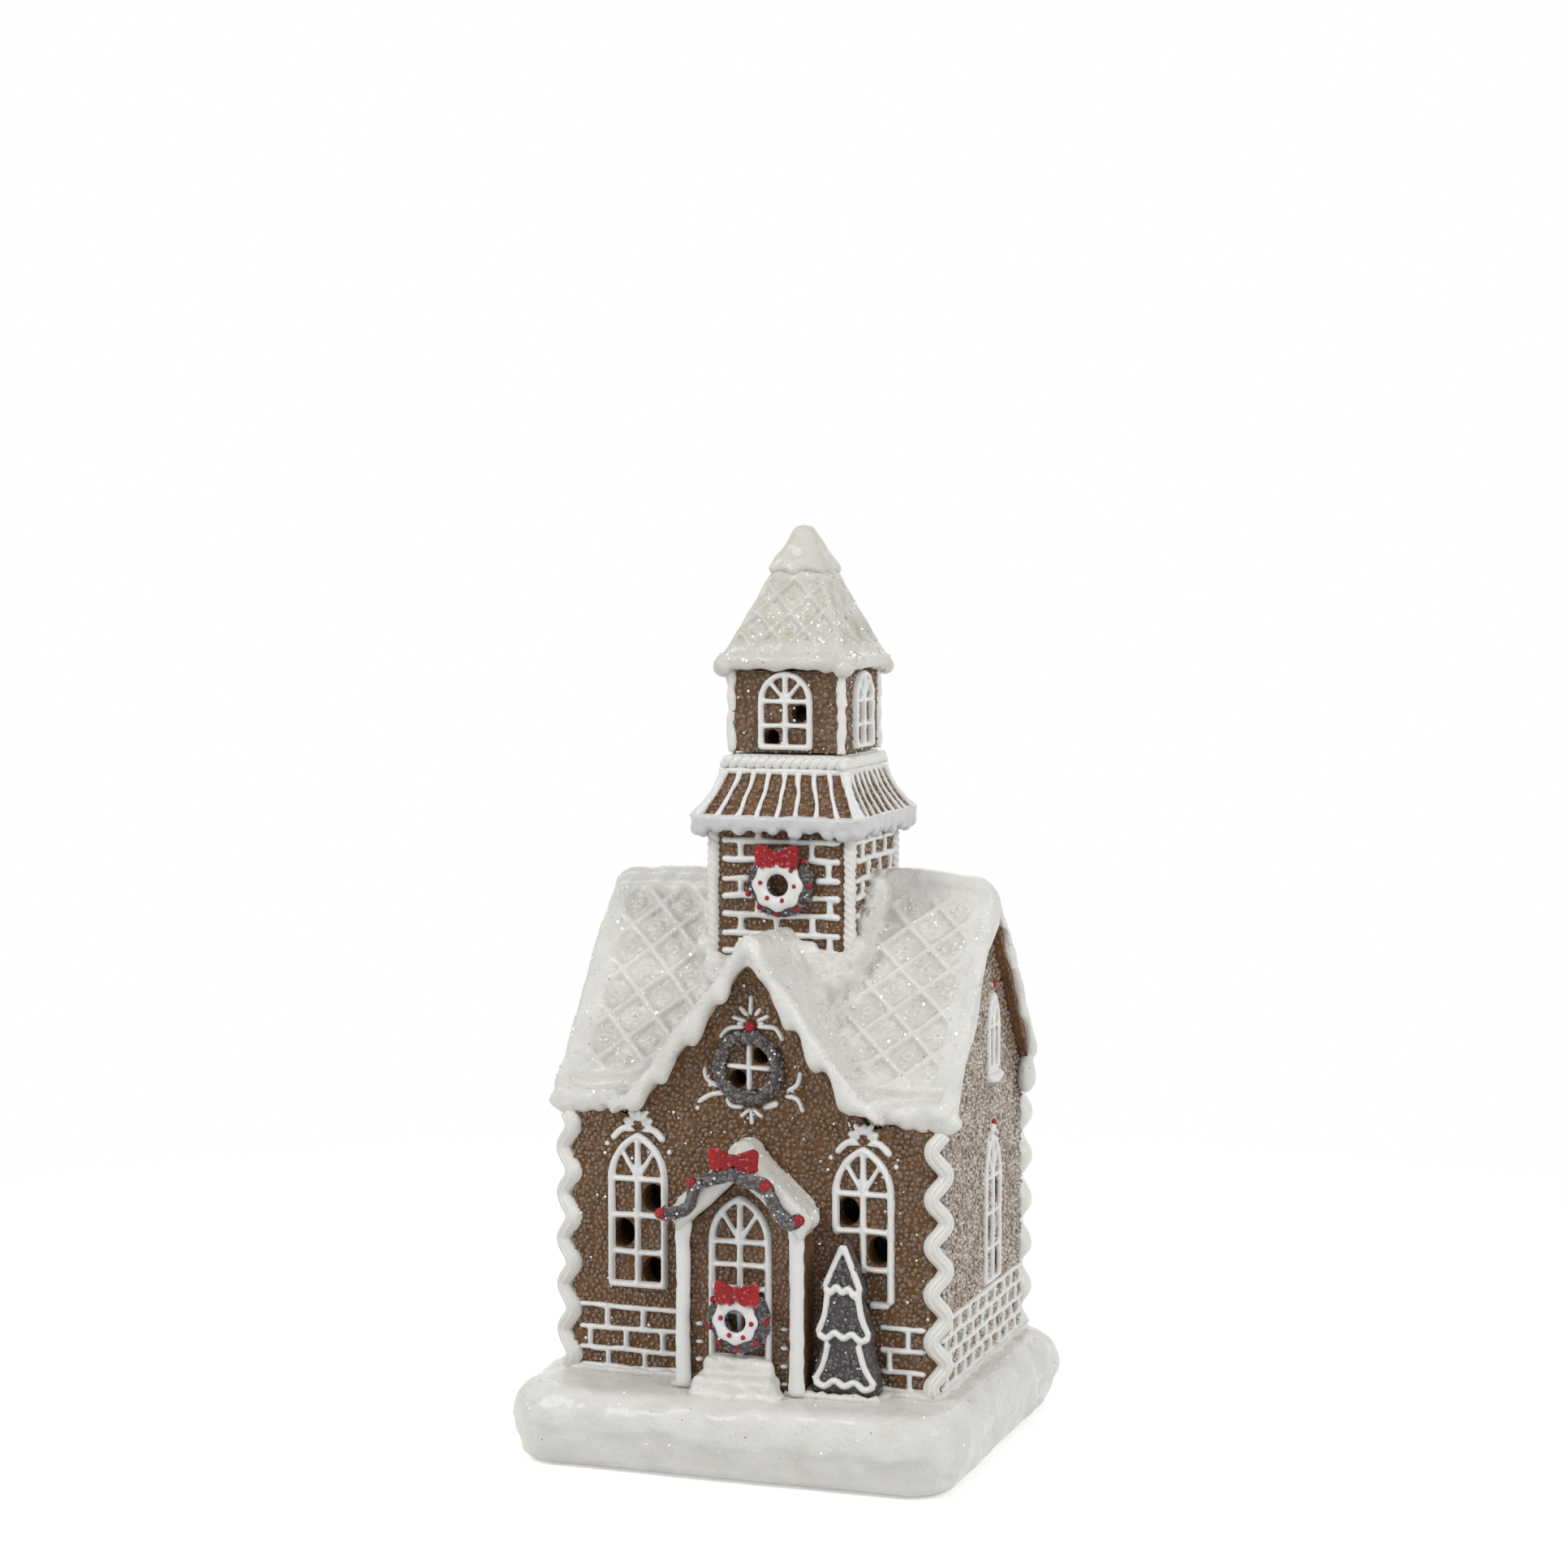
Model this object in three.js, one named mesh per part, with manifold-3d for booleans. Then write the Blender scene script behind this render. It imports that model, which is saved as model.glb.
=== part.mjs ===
// A lit gingerbread church for the winter table, 220 mm tall. Dough slabs carry snow roofs, a tower with a
// belfry and a spire stands over the crossing, and every window, wreath and corner is piped icing.
// Two lamps on one wire light it from inside, from a battery tray let into the snow base.
// Millimetres, +Z up, +X to the viewer's right, the porch on the -Y side. Origin: middle of the base's underside.
import * as THREE from "three";
import { mergeVertices } from "three/addons/utils/BufferGeometryUtils.js";
import Module from "manifold-3d";

const wasm = await Module();
wasm.setup();

// Snow base
const snowSide = 10.05; // snow beyond an end wall
const snowFront = 22.05; // snow before the front wall
const snowBack = 9.95; // snow behind the back wall
const baseHeight = 19;
const baseCornerRadius = 11;
const baseEdgeRound = 7.5;

// House walls
const houseWidth = 91.4;
const frontDepth = 38.6; // front wall's face before the ridge
const backDepth = 35.9; // back wall's face behind the ridge
const wallThickness = 5;
const cornerCut = 1.1; // how deep each corner is pared away for its ribbon of icing
const glueGap = 0.3; // the bed of icing between two pieces

// Roofs: the main ridge runs left to right, and a cross gable faces the front
const roofPitchDegrees = 52.6;
const roofThickness = 4.4;
const ridgeHeight = 136;
const ridgeFlat = 0.9; // how much of the sharp ridge is rounded away
const gableRidgeDrop = 11.5; // cross gable's ridge below the main one
const gableThickness = 3.4;
const endOverhang = 4.3; // main roof beyond the end walls
const gableOverhang = 6.2; // cross gable beyond the front wall
const eaveRoll = 2.9; // radius of the rolled snow along an eave
const eaveLift = 0.6; // how far the roll stands proud of the slope's middle
const frontEave = 1.7; // roll beyond the front wall
const backEave = 2.2; // roll beyond the back wall
const eaveWave = 0.8;
const eaveWaveLength = 19;
const rakeDrop = 5.9; // snow hanging down the ends of the main roof, below the slope's face
const rakeWave = 2.1;
const rakeWaveLength = 18;
const frontDripWidth = 4.1;
const backDripWidth = 6.6;
const backDripDrop = 4;
const bargeDrop = 7.6; // snow hanging along the cross gable, below the slope's face
const bargeWave = 1.3;
const bargeWaveLength = 8.5;
const waffleStep = 6.1; // half the way from corner to corner of a cell pressed into the main slopes
const waffleRib = 1.5;
const waffleDepth = 0.8;
const waffleBorder = 4.5; // smooth snow left round the waffle

// Tower
const towerWidth = 35;
const towerSetback = 1.2; // tower's middle behind the main ridge
const towerWall = 3.5;
const towerRoot = 33; // shaft's foot below the main ridge
const towerRise = 12; // shaft's top above the main ridge
const skirtReach = 4.2;
const skirtHeight = 13;
const skirtHoleWidth = 20;
const skirtLip = 3.6;
const skirtDrop = 2.4;
const beltHeight = 4;
const beltReach = 1.5; // belt beyond the belfry's wall
const belfryWidth = 28.4;
const belfryWall = 3.4;
const belfryHeight = 19.4;
const spireEaveReach = 2.5;
const spireLip = 4;
const spireDrop = 1.6;
const spireHeight = 23.7; // from the belfry's top to the cap's foot
const spireCapWidth = 14;
const spireNeckWidth = 12.8;
const spireCapHeight = 11.3;

// Piped icing
const icingDepth = 1.6;
const icingBar = 1.8;
const lightHoleRadius = 2.85;
const lightHoleTallness = 1.2; // a pane is taller than it is wide
const belfryHoleRadius = 2.1;
const upperHoleRadius = 1.8;
const roseHoleRadius = 2.2;
const rickrackWidth = 4.4;
const rickrackSwing = 1.8;
const rickrackLength = 11;
const rickrackDepth = 1.8;

// Windows. Their springing lines keep a distance below the ridge, so an arch stays clear of its eave.
const frontArchDrop = 70.6;
const sideArchDrop = 73.6;
const upperArchDrop = 36.8;
const doorArchDrop = 82.6;
const upperPaneHeight = 10.7;

// Each window's half width, sill, springing line, rise of the arch, and rows of panes
const frontWindow = { half: 7.5, sill: 39.2, spring: ridgeHeight - frontArchDrop, rise: 11, rows: 3 };
const sideWindow = { half: 6.8, sill: 36.6, spring: ridgeHeight - sideArchDrop, rise: 10.6, rows: 3 };
const upperSill = ridgeHeight - upperArchDrop - upperPaneHeight;
const upperWindow = { half: 4.8, sill: upperSill, spring: upperSill + upperPaneHeight, rise: 8.4, rows: 1 };
const doorWindow = { half: 7.8, sill: 27, spring: ridgeHeight - doorArchDrop, rise: 9.9, rows: 4 };
const frontWindowInset = 17.7; // window's middle from the corner of the house
const sideWindowOffset = 7;

// Porch, steps and tree
const porchOffset = 0.5; // porch, door and steps to the right of the middle
const porchWidth = 31;
const porchDepth = 6.6;
const porchPitchDegrees = 42;
const porchCrown = 5.1; // porch roof's underside above the top of the door's arch
const porchRoofThickness = 5.2;
const porchRoofReach = 3.4;
const porchRoofOverhang = 5.4;
const columnWidth = 3.4;
const columnDepth = 2.4;
const stepHeight = 3.8;
const stepTread = 4;
const upperStepWidth = 18.4;
const lowerStepWidth = 21.6;
const garlandRadius = 1.4;
const treeOffset = 24.9;
const treeHeight = 35.6;
const treeWidth = 14.8;
const treeThickness = 5;

// Wreaths and bows
const roseDrop = 30.9; // round window's middle below the cross gable's ridge
const roseRadius = 8.5;
const roseInnerRadius = 5.9;
const roseDepth = 3;
const doorWreathGap = 1.7; // wreath above the top step
const doorWreathRadius = 7.6;
const towerWreathDrop = 13.1; // wreath's middle below the shaft's top
const towerWreathRadius = 8.1;
const wreathHole = 3.1;
const wreathDepth = 3;
const doorRingRadius = 5.1;
const towerRingRadius = 6.1;
const ringHole = 2.5;
const ringDepth = 1.5;
const bowWidth = 10.7;
const bowHeight = 6.4;
const bowRise = 1.6; // bow's middle above the top of the ring it ties
const porchBowWidth = 12.2;
const porchBowHeight = 4.6;
const bowThickness = 2;

// Battery unit: two AAA cells side by side, a hinged door under them and a slide switch beside them
const cellLength = 44.5;
const cellRadius = 5.25;
const cellGap = 1;
const contactSpace = 4.2;
const springWire = 0.25;
const springWide = 3.4;
const springNarrow = 1.6;
const springTurns = 3;
const springLead = 0.7;
const leafHalf = 2.4;
const contactThickness = 0.5;
const plasticWall = 1.5;
const trayInset = 1; // tray's face above the table
const trayHeight = 14.5;
const doorThickness = 1.8;
const doorLedge = 1.2;
const screwLand = 6;
const tabLength = 1.2;
const tabWidth = 4;
const screwRadius = 1;
const screwLength = 5;
const screwHeadRadius = 1.9;
const screwHeadHeight = 0.8;
const screwSlot = 0.5;
const switchBayWidth = 7;
const switchTravel = 3;
const knobSize = 3;
const runningGap = 0.3;

// Lamps and their wire
const wireRadius = 1;
const wireHoleRadius = 1.3;
const wireClearance = 4.5; // wire's lower end above the switch bay's floor
const wireLead = 5; // straight wire on each side of the hole in the base
const lampRadius = 2.5;
const lampLength = 8;
const houseLampHeight = 60;
const towerLampRise = 0.4; // lamp's foot above the belfry's foot

// Sizes worked out from the ones above
const halfWidth = houseWidth / 2;
const frontWindowOffset = halfWidth - frontWindowInset;
const baseWidth = houseWidth + 2 * snowSide;
const baseDepth = snowFront + frontDepth + backDepth + snowBack;
const houseSetback = (snowFront + frontDepth - backDepth - snowBack) / 2;
const gableRidgeHeight = ridgeHeight - gableRidgeDrop;
const slope = Math.tan(THREE.MathUtils.degToRad(roofPitchDegrees));
const roofVertical = roofThickness * Math.hypot(1, slope);
const gableVertical = gableThickness * Math.hypot(1, slope);
const floorHeight = baseHeight + glueGap;
const roofEnd = halfWidth + endOverhang;
const gableFace = frontDepth + gableOverhang;
const valleyOffset = gableRidgeDrop / slope;
const towerHalf = towerWidth / 2;
const towerFront = towerSetback - towerHalf;
const towerFoot = ridgeHeight - towerRoot;
const towerTop = ridgeHeight + towerRise;
const skirtTop = towerTop + skirtHeight;
const beltFoot = skirtTop + glueGap;
const belfryFoot = beltFoot + beltHeight + glueGap;
const belfryTop = belfryFoot + belfryHeight;
const spireFoot = belfryTop + glueGap;
const spireCapFoot = belfryTop + spireHeight;
const spireTip = spireCapFoot + spireCapHeight;
const towerLampHeight = belfryFoot + towerLampRise;
const belfryWindow = { half: 7.1, sill: belfryFoot + 0.5, spring: belfryTop - 7.2, rise: 5.6, rows: 2 };
const belfryHalf = belfryWidth / 2;
const porchPeak = doorWindow.spring + doorWindow.rise + porchCrown;
const roseHeight = gableRidgeHeight - roseDrop;
const doorWreathHeight = floorHeight + 2 * stepHeight + doorWreathGap + doorWreathRadius;
const towerWreathHeight = towerTop - towerWreathDrop;
const porchHalf = porchWidth / 2;
const porchSlope = Math.tan(THREE.MathUtils.degToRad(porchPitchDegrees));
const porchFace = frontDepth + glueGap + porchDepth;
const icingStep = glueGap + icingDepth;

// Colours read from the object
const paint = (color, roughness, metalness = 0) => new THREE.MeshStandardMaterial({ color, roughness, metalness });
const gingerbread = paint(0x8a5a2b, 0.85);
const snow = paint(0xf2efe6, 0.45);
const icing = paint(0xf5f4ee, 0.35);
const darkSugar = paint(0x4a4440, 0.8);
const red = paint(0xb3121d, 0.3);
const plastic = paint(0xe8e8e4, 0.5);
const steel = paint(0xb9bcc0, 0.3, 0.9);
const cellJacket = paint(0x3a6ea5, 0.4, 0.2);
const lampGlass = paint(0xfff0cf, 0.2);
const wireJacket = paint(0x2f6b34, 0.5);

const root = new THREE.Group();
const house = new THREE.Group();
house.position.y = houseSetback;
root.add(house);

// Solids and geometry

function solidOf(geometry) {
  const bare = geometry.clone();
  bare.deleteAttribute("normal");
  bare.deleteAttribute("uv");
  const merged = mergeVertices(bare, 1e-4);
  const vertProperties = merged.attributes.position.array;
  const triVerts = new Uint32Array(merged.index.array);
  return new wasm.Manifold(new wasm.Mesh({ numProp: 3, vertProperties, triVerts }));
}

function geometryOf(solid) {
  const mesh = solid.getMesh();
  const geometry = new THREE.BufferGeometry();
  geometry.setAttribute("position", new THREE.BufferAttribute(mesh.vertProperties, 3));
  geometry.setIndex(new THREE.BufferAttribute(mesh.triVerts, 1));
  geometry.computeVertexNormals();
  return geometry;
}

function add(group, name, shape, material) {
  const geometry = shape.isBufferGeometry ? shape : geometryOf(shape);
  const mesh = new THREE.Mesh(geometry, material);
  mesh.name = name;
  group.add(mesh);
  return mesh;
}

function block(low, high) {
  const size = high.map((value, axis) => value - low[axis]);
  const middle = high.map((value, axis) => (value + low[axis]) / 2);
  return solidOf(new THREE.BoxGeometry(...size).translate(...middle));
}

const shapeOf = (points) => new THREE.Shape(points.map(([u, v]) => new THREE.Vector2(u, v)));
const extrude = (shape, depth, curveSegments = 6) =>
  new THREE.ExtrudeGeometry(shape, { depth, bevelEnabled: false, curveSegments });

// A shape drawn in X and Z, running from one Y to another.
function alongY(shape, from, to) {
  return solidOf(extrude(shape, to - from).rotateX(Math.PI / 2).translate(0, to, 0));
}

// A shape drawn in Y and Z, running from one X to another.
function alongX(shape, from, to) {
  const [x, y, z] = [new THREE.Vector3(1, 0, 0), new THREE.Vector3(0, 1, 0), new THREE.Vector3(0, 0, 1)];
  const turned = extrude(shape, to - from).applyMatrix4(new THREE.Matrix4().makeBasis(y, z, x));
  return solidOf(turned.translate(from, 0, 0));
}

const alongZ = (shape, from, to) => solidOf(extrude(shape, to - from).translate(0, 0, from));

function holeAlongY(radius, x, z, from, to, sides = 12, tallness = 1) {
  const round = new THREE.CylinderGeometry(radius, radius, to - from, sides).scale(1, 1, tallness);
  return solidOf(round.translate(x, (from + to) / 2, z));
}

function roundedRing(width, depth, radius, z, pointsPerCorner = 5) {
  const ring = [];
  for (let corner = 0; corner < 4; corner++) {
    const side = [[1, 1], [-1, 1], [-1, -1], [1, -1]][corner];
    for (let i = 0; i < pointsPerCorner; i++) {
      const angle = (corner + i / (pointsPerCorner - 1)) * (Math.PI / 2);
      const x = side[0] * (width / 2 - radius) + radius * Math.cos(angle);
      const y = side[1] * (depth / 2 - radius) + radius * Math.sin(angle);
      ring.push([x, y, z]);
    }
  }
  return ring;
}

const squareRing = (width, z) =>
  [[1, 1], [-1, 1], [-1, -1], [1, -1]].map(([x, y]) => [(x * width) / 2, (y * width) / 2, z]);

// A closed skin through rings of equal count, from the lowest to the highest.
function loft(rings) {
  const count = rings[0].length;
  const index = [];
  for (let level = 0; level + 1 < rings.length; level++) {
    for (let i = 0; i < count; i++) {
      const [a, b] = [level * count + i, level * count + ((i + 1) % count)];
      index.push(a, b, b + count, a, b + count, a + count);
    }
  }
  const top = (rings.length - 1) * count;
  for (let i = 1; i + 1 < count; i++) {
    index.push(0, i + 1, i, top, top + i, top + i + 1);
  }
  const geometry = new THREE.BufferGeometry();
  geometry.setAttribute("position", new THREE.Float32BufferAttribute(rings.flat(2), 3));
  geometry.setIndex(index);
  return solidOf(geometry);
}

// Turns a piece made for the front (-Y) face to another side: 1 right, 2 back, 3 left.
const facing = (solid, quarterTurns) => solid.rotate([0, 0, 90 * quarterTurns]);

const wave = (distance, length, depth) => depth * Math.sin((2 * Math.PI * distance) / length);

function stations(from, to, step) {
  const count = Math.max(2, Math.round(Math.abs(to - from) / step));
  return Array.from({ length: count + 1 }, (_, i) => from + ((to - from) * i) / count);
}

// Snow base: a pillow of snow with rounded edges, and a bay under it for the battery tray

const bayLength = cellLength + 2 * contactSpace;
const bayWidth = 4 * cellRadius + cellGap + 2 * runningGap;
const doorLength = bayLength + doorLedge + screwLand;
const doorWidth = bayWidth + 2 * doorLedge;
const doorLeft = -doorLength / 2;
const doorRight = doorLength / 2;
const bayLeft = doorLeft + doorLedge;
const bayRight = bayLeft + bayLength;
const trayLeft = doorLeft - tabLength - 2 * runningGap - plasticWall;
const trayRight = doorRight + runningGap + plasticWall;
const trayWidth = doorWidth + 2 * runningGap + 3 * plasticWall + switchBayWidth;
const trayFront = -trayWidth / 2;
const trayBack = trayWidth / 2;
const trayTop = trayInset + trayHeight;
const bayFront = trayFront + plasticWall + runningGap + doorLedge;
const bayBack = bayFront + bayWidth;
const switchFront = trayBack - plasticWall - switchBayWidth;
const switchMiddle = switchFront + switchBayWidth / 2;
const doorTop = trayInset + doorThickness;
const trayRoof = trayTop - plasticWall;

function snowBase() {
  const levels = 8;
  const roundness = 2.4;
  const rings = [];
  for (let level = 0; level <= levels; level++) {
    const height = (1 - Math.cos((Math.PI * level) / levels)) / 2;
    const offMiddle = Math.abs(2 * height - 1);
    const inset = baseEdgeRound * (1 - (1 - offMiddle ** roundness) ** (1 / roundness));
    const radius = Math.max(baseCornerRadius - inset, baseEdgeRound / 2);
    rings.push(roundedRing(baseWidth - 2 * inset, baseDepth - 2 * inset, radius, baseHeight * height));
  }
  const trayBay = block(
    [trayLeft - glueGap, trayFront - glueGap, -1],
    [trayRight + glueGap, trayBack + glueGap, trayTop + glueGap],
  );
  const wireHole = solidOf(
    new THREE.CylinderGeometry(wireHoleRadius, wireHoleRadius, 2 * baseHeight, 12)
      .rotateX(Math.PI / 2)
      .translate(0, switchMiddle, baseHeight),
  );
  return loft(rings).subtract(trayBay).subtract(wireHole);
}

add(root, "snow_base", snowBase(), snow);

// The roll of snow along an eave, swept from the left end to the right one with a slow ripple in its height.
const rollMiddle = (depth, reach) => {
  const y = depth + reach - eaveRoll;
  return { y, z: ridgeHeight - roofVertical / 2 + eaveLift - slope * y };
};
const frontRoll = rollMiddle(frontDepth, frontEave);
const backRoll = rollMiddle(backDepth, backEave);

function eaveRollSolid(side, middle, radius) {
  const sides = 10;
  const rings = stations(-roofEnd, roofEnd, eaveWaveLength / 5).map((x) => {
    const z = middle.z + wave(x + eaveWaveLength / 4, eaveWaveLength, eaveWave);
    return Array.from({ length: sides }, (_, i) => {
      const angle = (2 * Math.PI * i) / sides;
      return [x, side * middle.y + radius * Math.cos(angle), z + radius * Math.sin(angle)];
    });
  });
  return loft(rings);
}

// Walls: everything below the roofs' undersides, less a bed of icing

const far = 2 * Math.max(baseWidth, baseDepth);
const mainGableAt = (peak, reach) => shapeOf([[-reach, peak - slope * reach], [reach, peak - slope * reach], [0, peak]]);
const wallPeak = ridgeHeight - roofVertical - glueGap;
const gableWallPeak = gableRidgeHeight - gableVertical - glueGap;
const eaveSpace = (side, middle) =>
  block([-far, side > 0 ? middle.y - eaveRoll : -far, 0], [far, side > 0 ? far : eaveRoll - middle.y, middle.z]);
const rolls = eaveRollSolid(-1, frontRoll, eaveRoll + glueGap).add(eaveRollSolid(1, backRoll, eaveRoll + glueGap));
const underMain = alongX(mainGableAt(wallPeak, far), -far, far)
  .add(eaveSpace(-1, frontRoll))
  .add(eaveSpace(1, backRoll))
  .subtract(rolls);
const gableZone = (offset) => alongZ(shapeOf([[0, -offset], [-far, -offset - far], [far, -offset - far]]), 0, 2 * ridgeHeight);
const gableFoot = frontRoll.z - eaveRoll;
const underGable = alongY(mainGableAt(gableWallPeak, far), -far, 0)
  .add(block([-far, -far, 0], [far, 0, gableFoot - glueGap]))
  .intersect(gableZone(valleyOffset - glueGap / 4));
const underRoofs = underMain.subtract(gableZone(valleyOffset)).add(underGable);

// The four corners of the house, each with the way it faces.
const corners = {
  front_right: { x: halfWidth, y: -frontDepth, turn: 45 },
  back_right: { x: halfWidth, y: backDepth, turn: 135 },
  back_left: { x: -halfWidth, y: backDepth, turn: 225 },
  front_left: { x: -halfWidth, y: -frontDepth, turn: 315 },
};
const paring = Object.values(corners)
  .map(({ x, y, turn }) =>
    block([-cornerCut * 2, -cornerCut, 0], [cornerCut * 2, cornerCut, ridgeHeight])
      .rotate([0, 0, turn])
      .translate([x, y, 0]),
  )
  .reduce((all, one) => all.add(one));

// The panes that are pierced to let the light out, as places across and up each window.
const panePitch = (w) => (w.spring - w.sill) / w.rows;
const paneHeight = (w, row) => w.spring - panePitch(w) * (row + 0.5);
const piercedRight = (w) => [[w.half / 2, 0], [-w.half / 2, 1], [w.half / 2, 2]].map(([x, row]) => [x, paneHeight(w, row)]);
const piercedLeft = (w) => piercedRight(w).map(([x, z]) => [-x, z]);

function pierce(wall, panes, across, from, to, radius = lightHoleRadius) {
  const hole = (x, z) => holeAlongY(radius, across + x, z, from, to, 12, lightHoleTallness);
  return panes.reduce((left, [x, z]) => left.subtract(hole(x, z)), wall);
}

function frontWall() {
  const slab = block([-halfWidth, -frontDepth, floorHeight], [halfWidth, -frontDepth + wallThickness, ridgeHeight]);
  const through = [-frontDepth - 1, -frontDepth + wallThickness + 1];
  let wall = slab.intersect(underRoofs).subtract(paring);
  wall = pierce(wall, piercedRight(frontWindow), -frontWindowOffset, ...through);
  wall = pierce(wall, piercedLeft(frontWindow), frontWindowOffset, ...through);
  const rosePane = roseInnerRadius * 0.5;
  const rose = [[rosePane, roseHeight + rosePane], [-rosePane, roseHeight - rosePane]];
  return rose.reduce((left, [x, z]) => left.subtract(holeAlongY(roseHoleRadius, x, z, ...through)), wall);
}

function backWall() {
  const slab = block([-halfWidth, backDepth - wallThickness, floorHeight], [halfWidth, backDepth, ridgeHeight]);
  const wall = slab.intersect(underMain).subtract(paring);
  return pierce(wall, piercedRight(frontWindow), 0, backDepth - wallThickness - 1, backDepth + 1);
}

// An end wall stands between the front and back walls; made facing the front, then turned.
function endWall(quarterTurns) {
  const side = quarterTurns === 1 ? 1 : -1;
  const [front, back] = [frontDepth, backDepth].map((depth) => depth - wallThickness - glueGap);
  const slab = block([-front, -halfWidth, floorHeight], [back, -halfWidth + wallThickness, ridgeHeight]);
  const across = side * sideWindowOffset;
  const through = [-halfWidth - 1, -halfWidth + wallThickness + 1];
  let wall = side > 0 ? slab : slab.mirror([1, 0, 0]);
  wall = pierce(wall, piercedRight(sideWindow), across, ...through);
  wall = pierce(wall, [[upperWindow.half / 2, paneHeight(upperWindow, 0)]], across, ...through, upperHoleRadius);
  return facing(wall, quarterTurns).intersect(underMain);
}

add(house, "front_wall", frontWall(), gingerbread);
add(house, "back_wall", backWall(), gingerbread);
add(house, "right_wall", endWall(1), gingerbread);
add(house, "left_wall", endWall(3), gingerbread);

// Roofs: thick plates on the slopes, a roll of snow along each eave, and hanging snow at the gables' ends

const towerCut = block(
  [-towerHalf - glueGap, towerFront - glueGap, 0],
  [towerHalf + glueGap, towerSetback + towerHalf + glueGap, 2 * ridgeHeight],
);
const belowRidge = (height) => block([-far, -far, 0], [far, far, height - ridgeFlat]);

// A plate's section, falling to the left from its ridge to where the snow is rolled.
function plateShape(peak, thickness, reach) {
  const [lean, rise] = [Math.sin(Math.atan(slope)) / 2, Math.cos(Math.atan(slope)) / 2];
  const middle = peak - (thickness * Math.hypot(1, slope)) / 2 - slope * reach;
  return shapeOf([
    [0, peak],
    [-reach - thickness * lean, middle + thickness * rise],
    [-reach + thickness * lean, middle - thickness * rise],
    [0, peak - thickness * Math.hypot(1, slope)],
  ]);
}

// Hanging snow at a gable's end: the slope's line above, a wavy line below, and a blunt drip at the eave.
function hangingShape(peak, reach, { drop, swing, length, phase }, drip) {
  const line = stations(0.2, reach, length / 4);
  const top = line.map((d) => [-d, peak - slope * d]);
  const inner = line.filter((d) => d < reach - drip.width);
  const below = inner.map((d) => [-d, peak - slope * d - drop - wave(d + phase, length, swing)]);
  const foot = [[-reach + drip.width, drip.foot], [-reach, drip.foot]];
  return shapeOf([...top.reverse(), ...below, ...foot]);
}

function mainSlope(side, middle, drip) {
  const rake = { drop: rakeDrop, swing: rakeWave, length: rakeWaveLength, phase: rakeWaveLength * 0.4 };
  const plate = alongX(plateShape(ridgeHeight, roofThickness, middle.y - roofThickness * 0.4), -halfWidth - glueGap, halfWidth + glueGap);
  const hanging = hangingShape(ridgeHeight, middle.y, rake, drip);
  const inner = halfWidth + glueGap;
  const ends = alongX(hanging, inner, roofEnd).add(alongX(hanging, -roofEnd, -inner));
  const slopeAndEnds = plate.add(ends);
  return (side < 0 ? slopeAndEnds : slopeAndEnds.mirror([0, 1, 0])).add(eaveRollSolid(side, middle, eaveRoll));
}

// The waffle pressed into a main slope: square cells that stand on a corner, with ribs of snow between them.
// Its rows start at a place across the house and down the slope, and fill the slope where it is open.
const pitHalf = waffleStep - waffleRib * Math.SQRT1_2;
const slopeCosine = 1 / Math.hypot(1, slope);

function wafflePits(side, { across, down }, eave, open) {
  const count = Math.ceil((2 * roofEnd) / waffleStep);
  const lowest = eave.y / slopeCosine - waffleBorder;
  const pits = [];
  for (let i = -count; i <= count; i++) {
    for (let j = -count; j <= count; j++) {
      const [x, s] = [across + i * waffleStep, down + j * waffleStep];
      const framed = Math.abs(x) + pitHalf < roofEnd - waffleBorder && s - pitHalf > waffleBorder / 2 && s + pitHalf < lowest;
      if ((i + j) % 2 === 0 && framed && open(x, s * slopeCosine)) {
        const cell = shapeOf([[x + pitHalf, -s], [x, pitHalf - s], [x - pitHalf, -s], [x, -pitHalf - s]]);
        pits.push(alongZ(cell, -waffleDepth, waffleDepth));
      }
    }
  }
  const laid = pits.reduce((all, one) => all.add(one)).rotate([roofPitchDegrees, 0, 0]).translate([0, 0, ridgeHeight]);
  return side < 0 ? laid : laid.mirror([0, 1, 0]);
}

// Whether a cell's middle is clear of the tower, and whether all of the cell is clear of the cross gable's valley.
const besideTower = (x, d, towerEdge) =>
  Math.abs(x) > towerHalf + waffleRib || d > towerEdge + waffleRib;
const outsideValley = (x, d) => Math.abs(x) - pitHalf > d - valleyOffset + waffleRib;

// What lies on one side of the middle along an axis, less half a gap.
const oneSideOf = (axis, sign, gap) => {
  const low = [-far, -far, 0];
  const high = [far, far, 2 * ridgeHeight];
  if (sign > 0) low[axis] = gap / 2;
  else high[axis] = -gap / 2;
  return block(low, high);
};

const frontDrip = { width: frontDripWidth, foot: frontRoll.z - eaveRoll };
const backDrip = { width: backDripWidth, foot: backRoll.z - eaveRoll - backDripDrop };
const mainFront = mainSlope(-1, frontRoll, frontDrip)
  .intersect(oneSideOf(1, -1, glueGap))
  .intersect(belowRidge(ridgeHeight))
  .subtract(gableZone(valleyOffset - glueGap / 2))
  .subtract(towerCut);
const waffleOnFront = (side, rows) =>
  wafflePits(-1, rows, frontRoll, (x, d) => x * side > 0 && besideTower(x, d, -towerFront) && outsideValley(x, d));
const roofFrontLeft = mainFront.intersect(oneSideOf(0, -1, 0)).subtract(waffleOnFront(-1, { across: -34.6, down: 16.9 }));
const roofFrontRight = mainFront.intersect(oneSideOf(0, 1, 0)).subtract(waffleOnFront(1, { across: 35.8, down: 14.2 }));
add(house, "roof_front_left", roofFrontLeft, snow);
add(house, "roof_front_right", roofFrontRight, snow);

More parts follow.
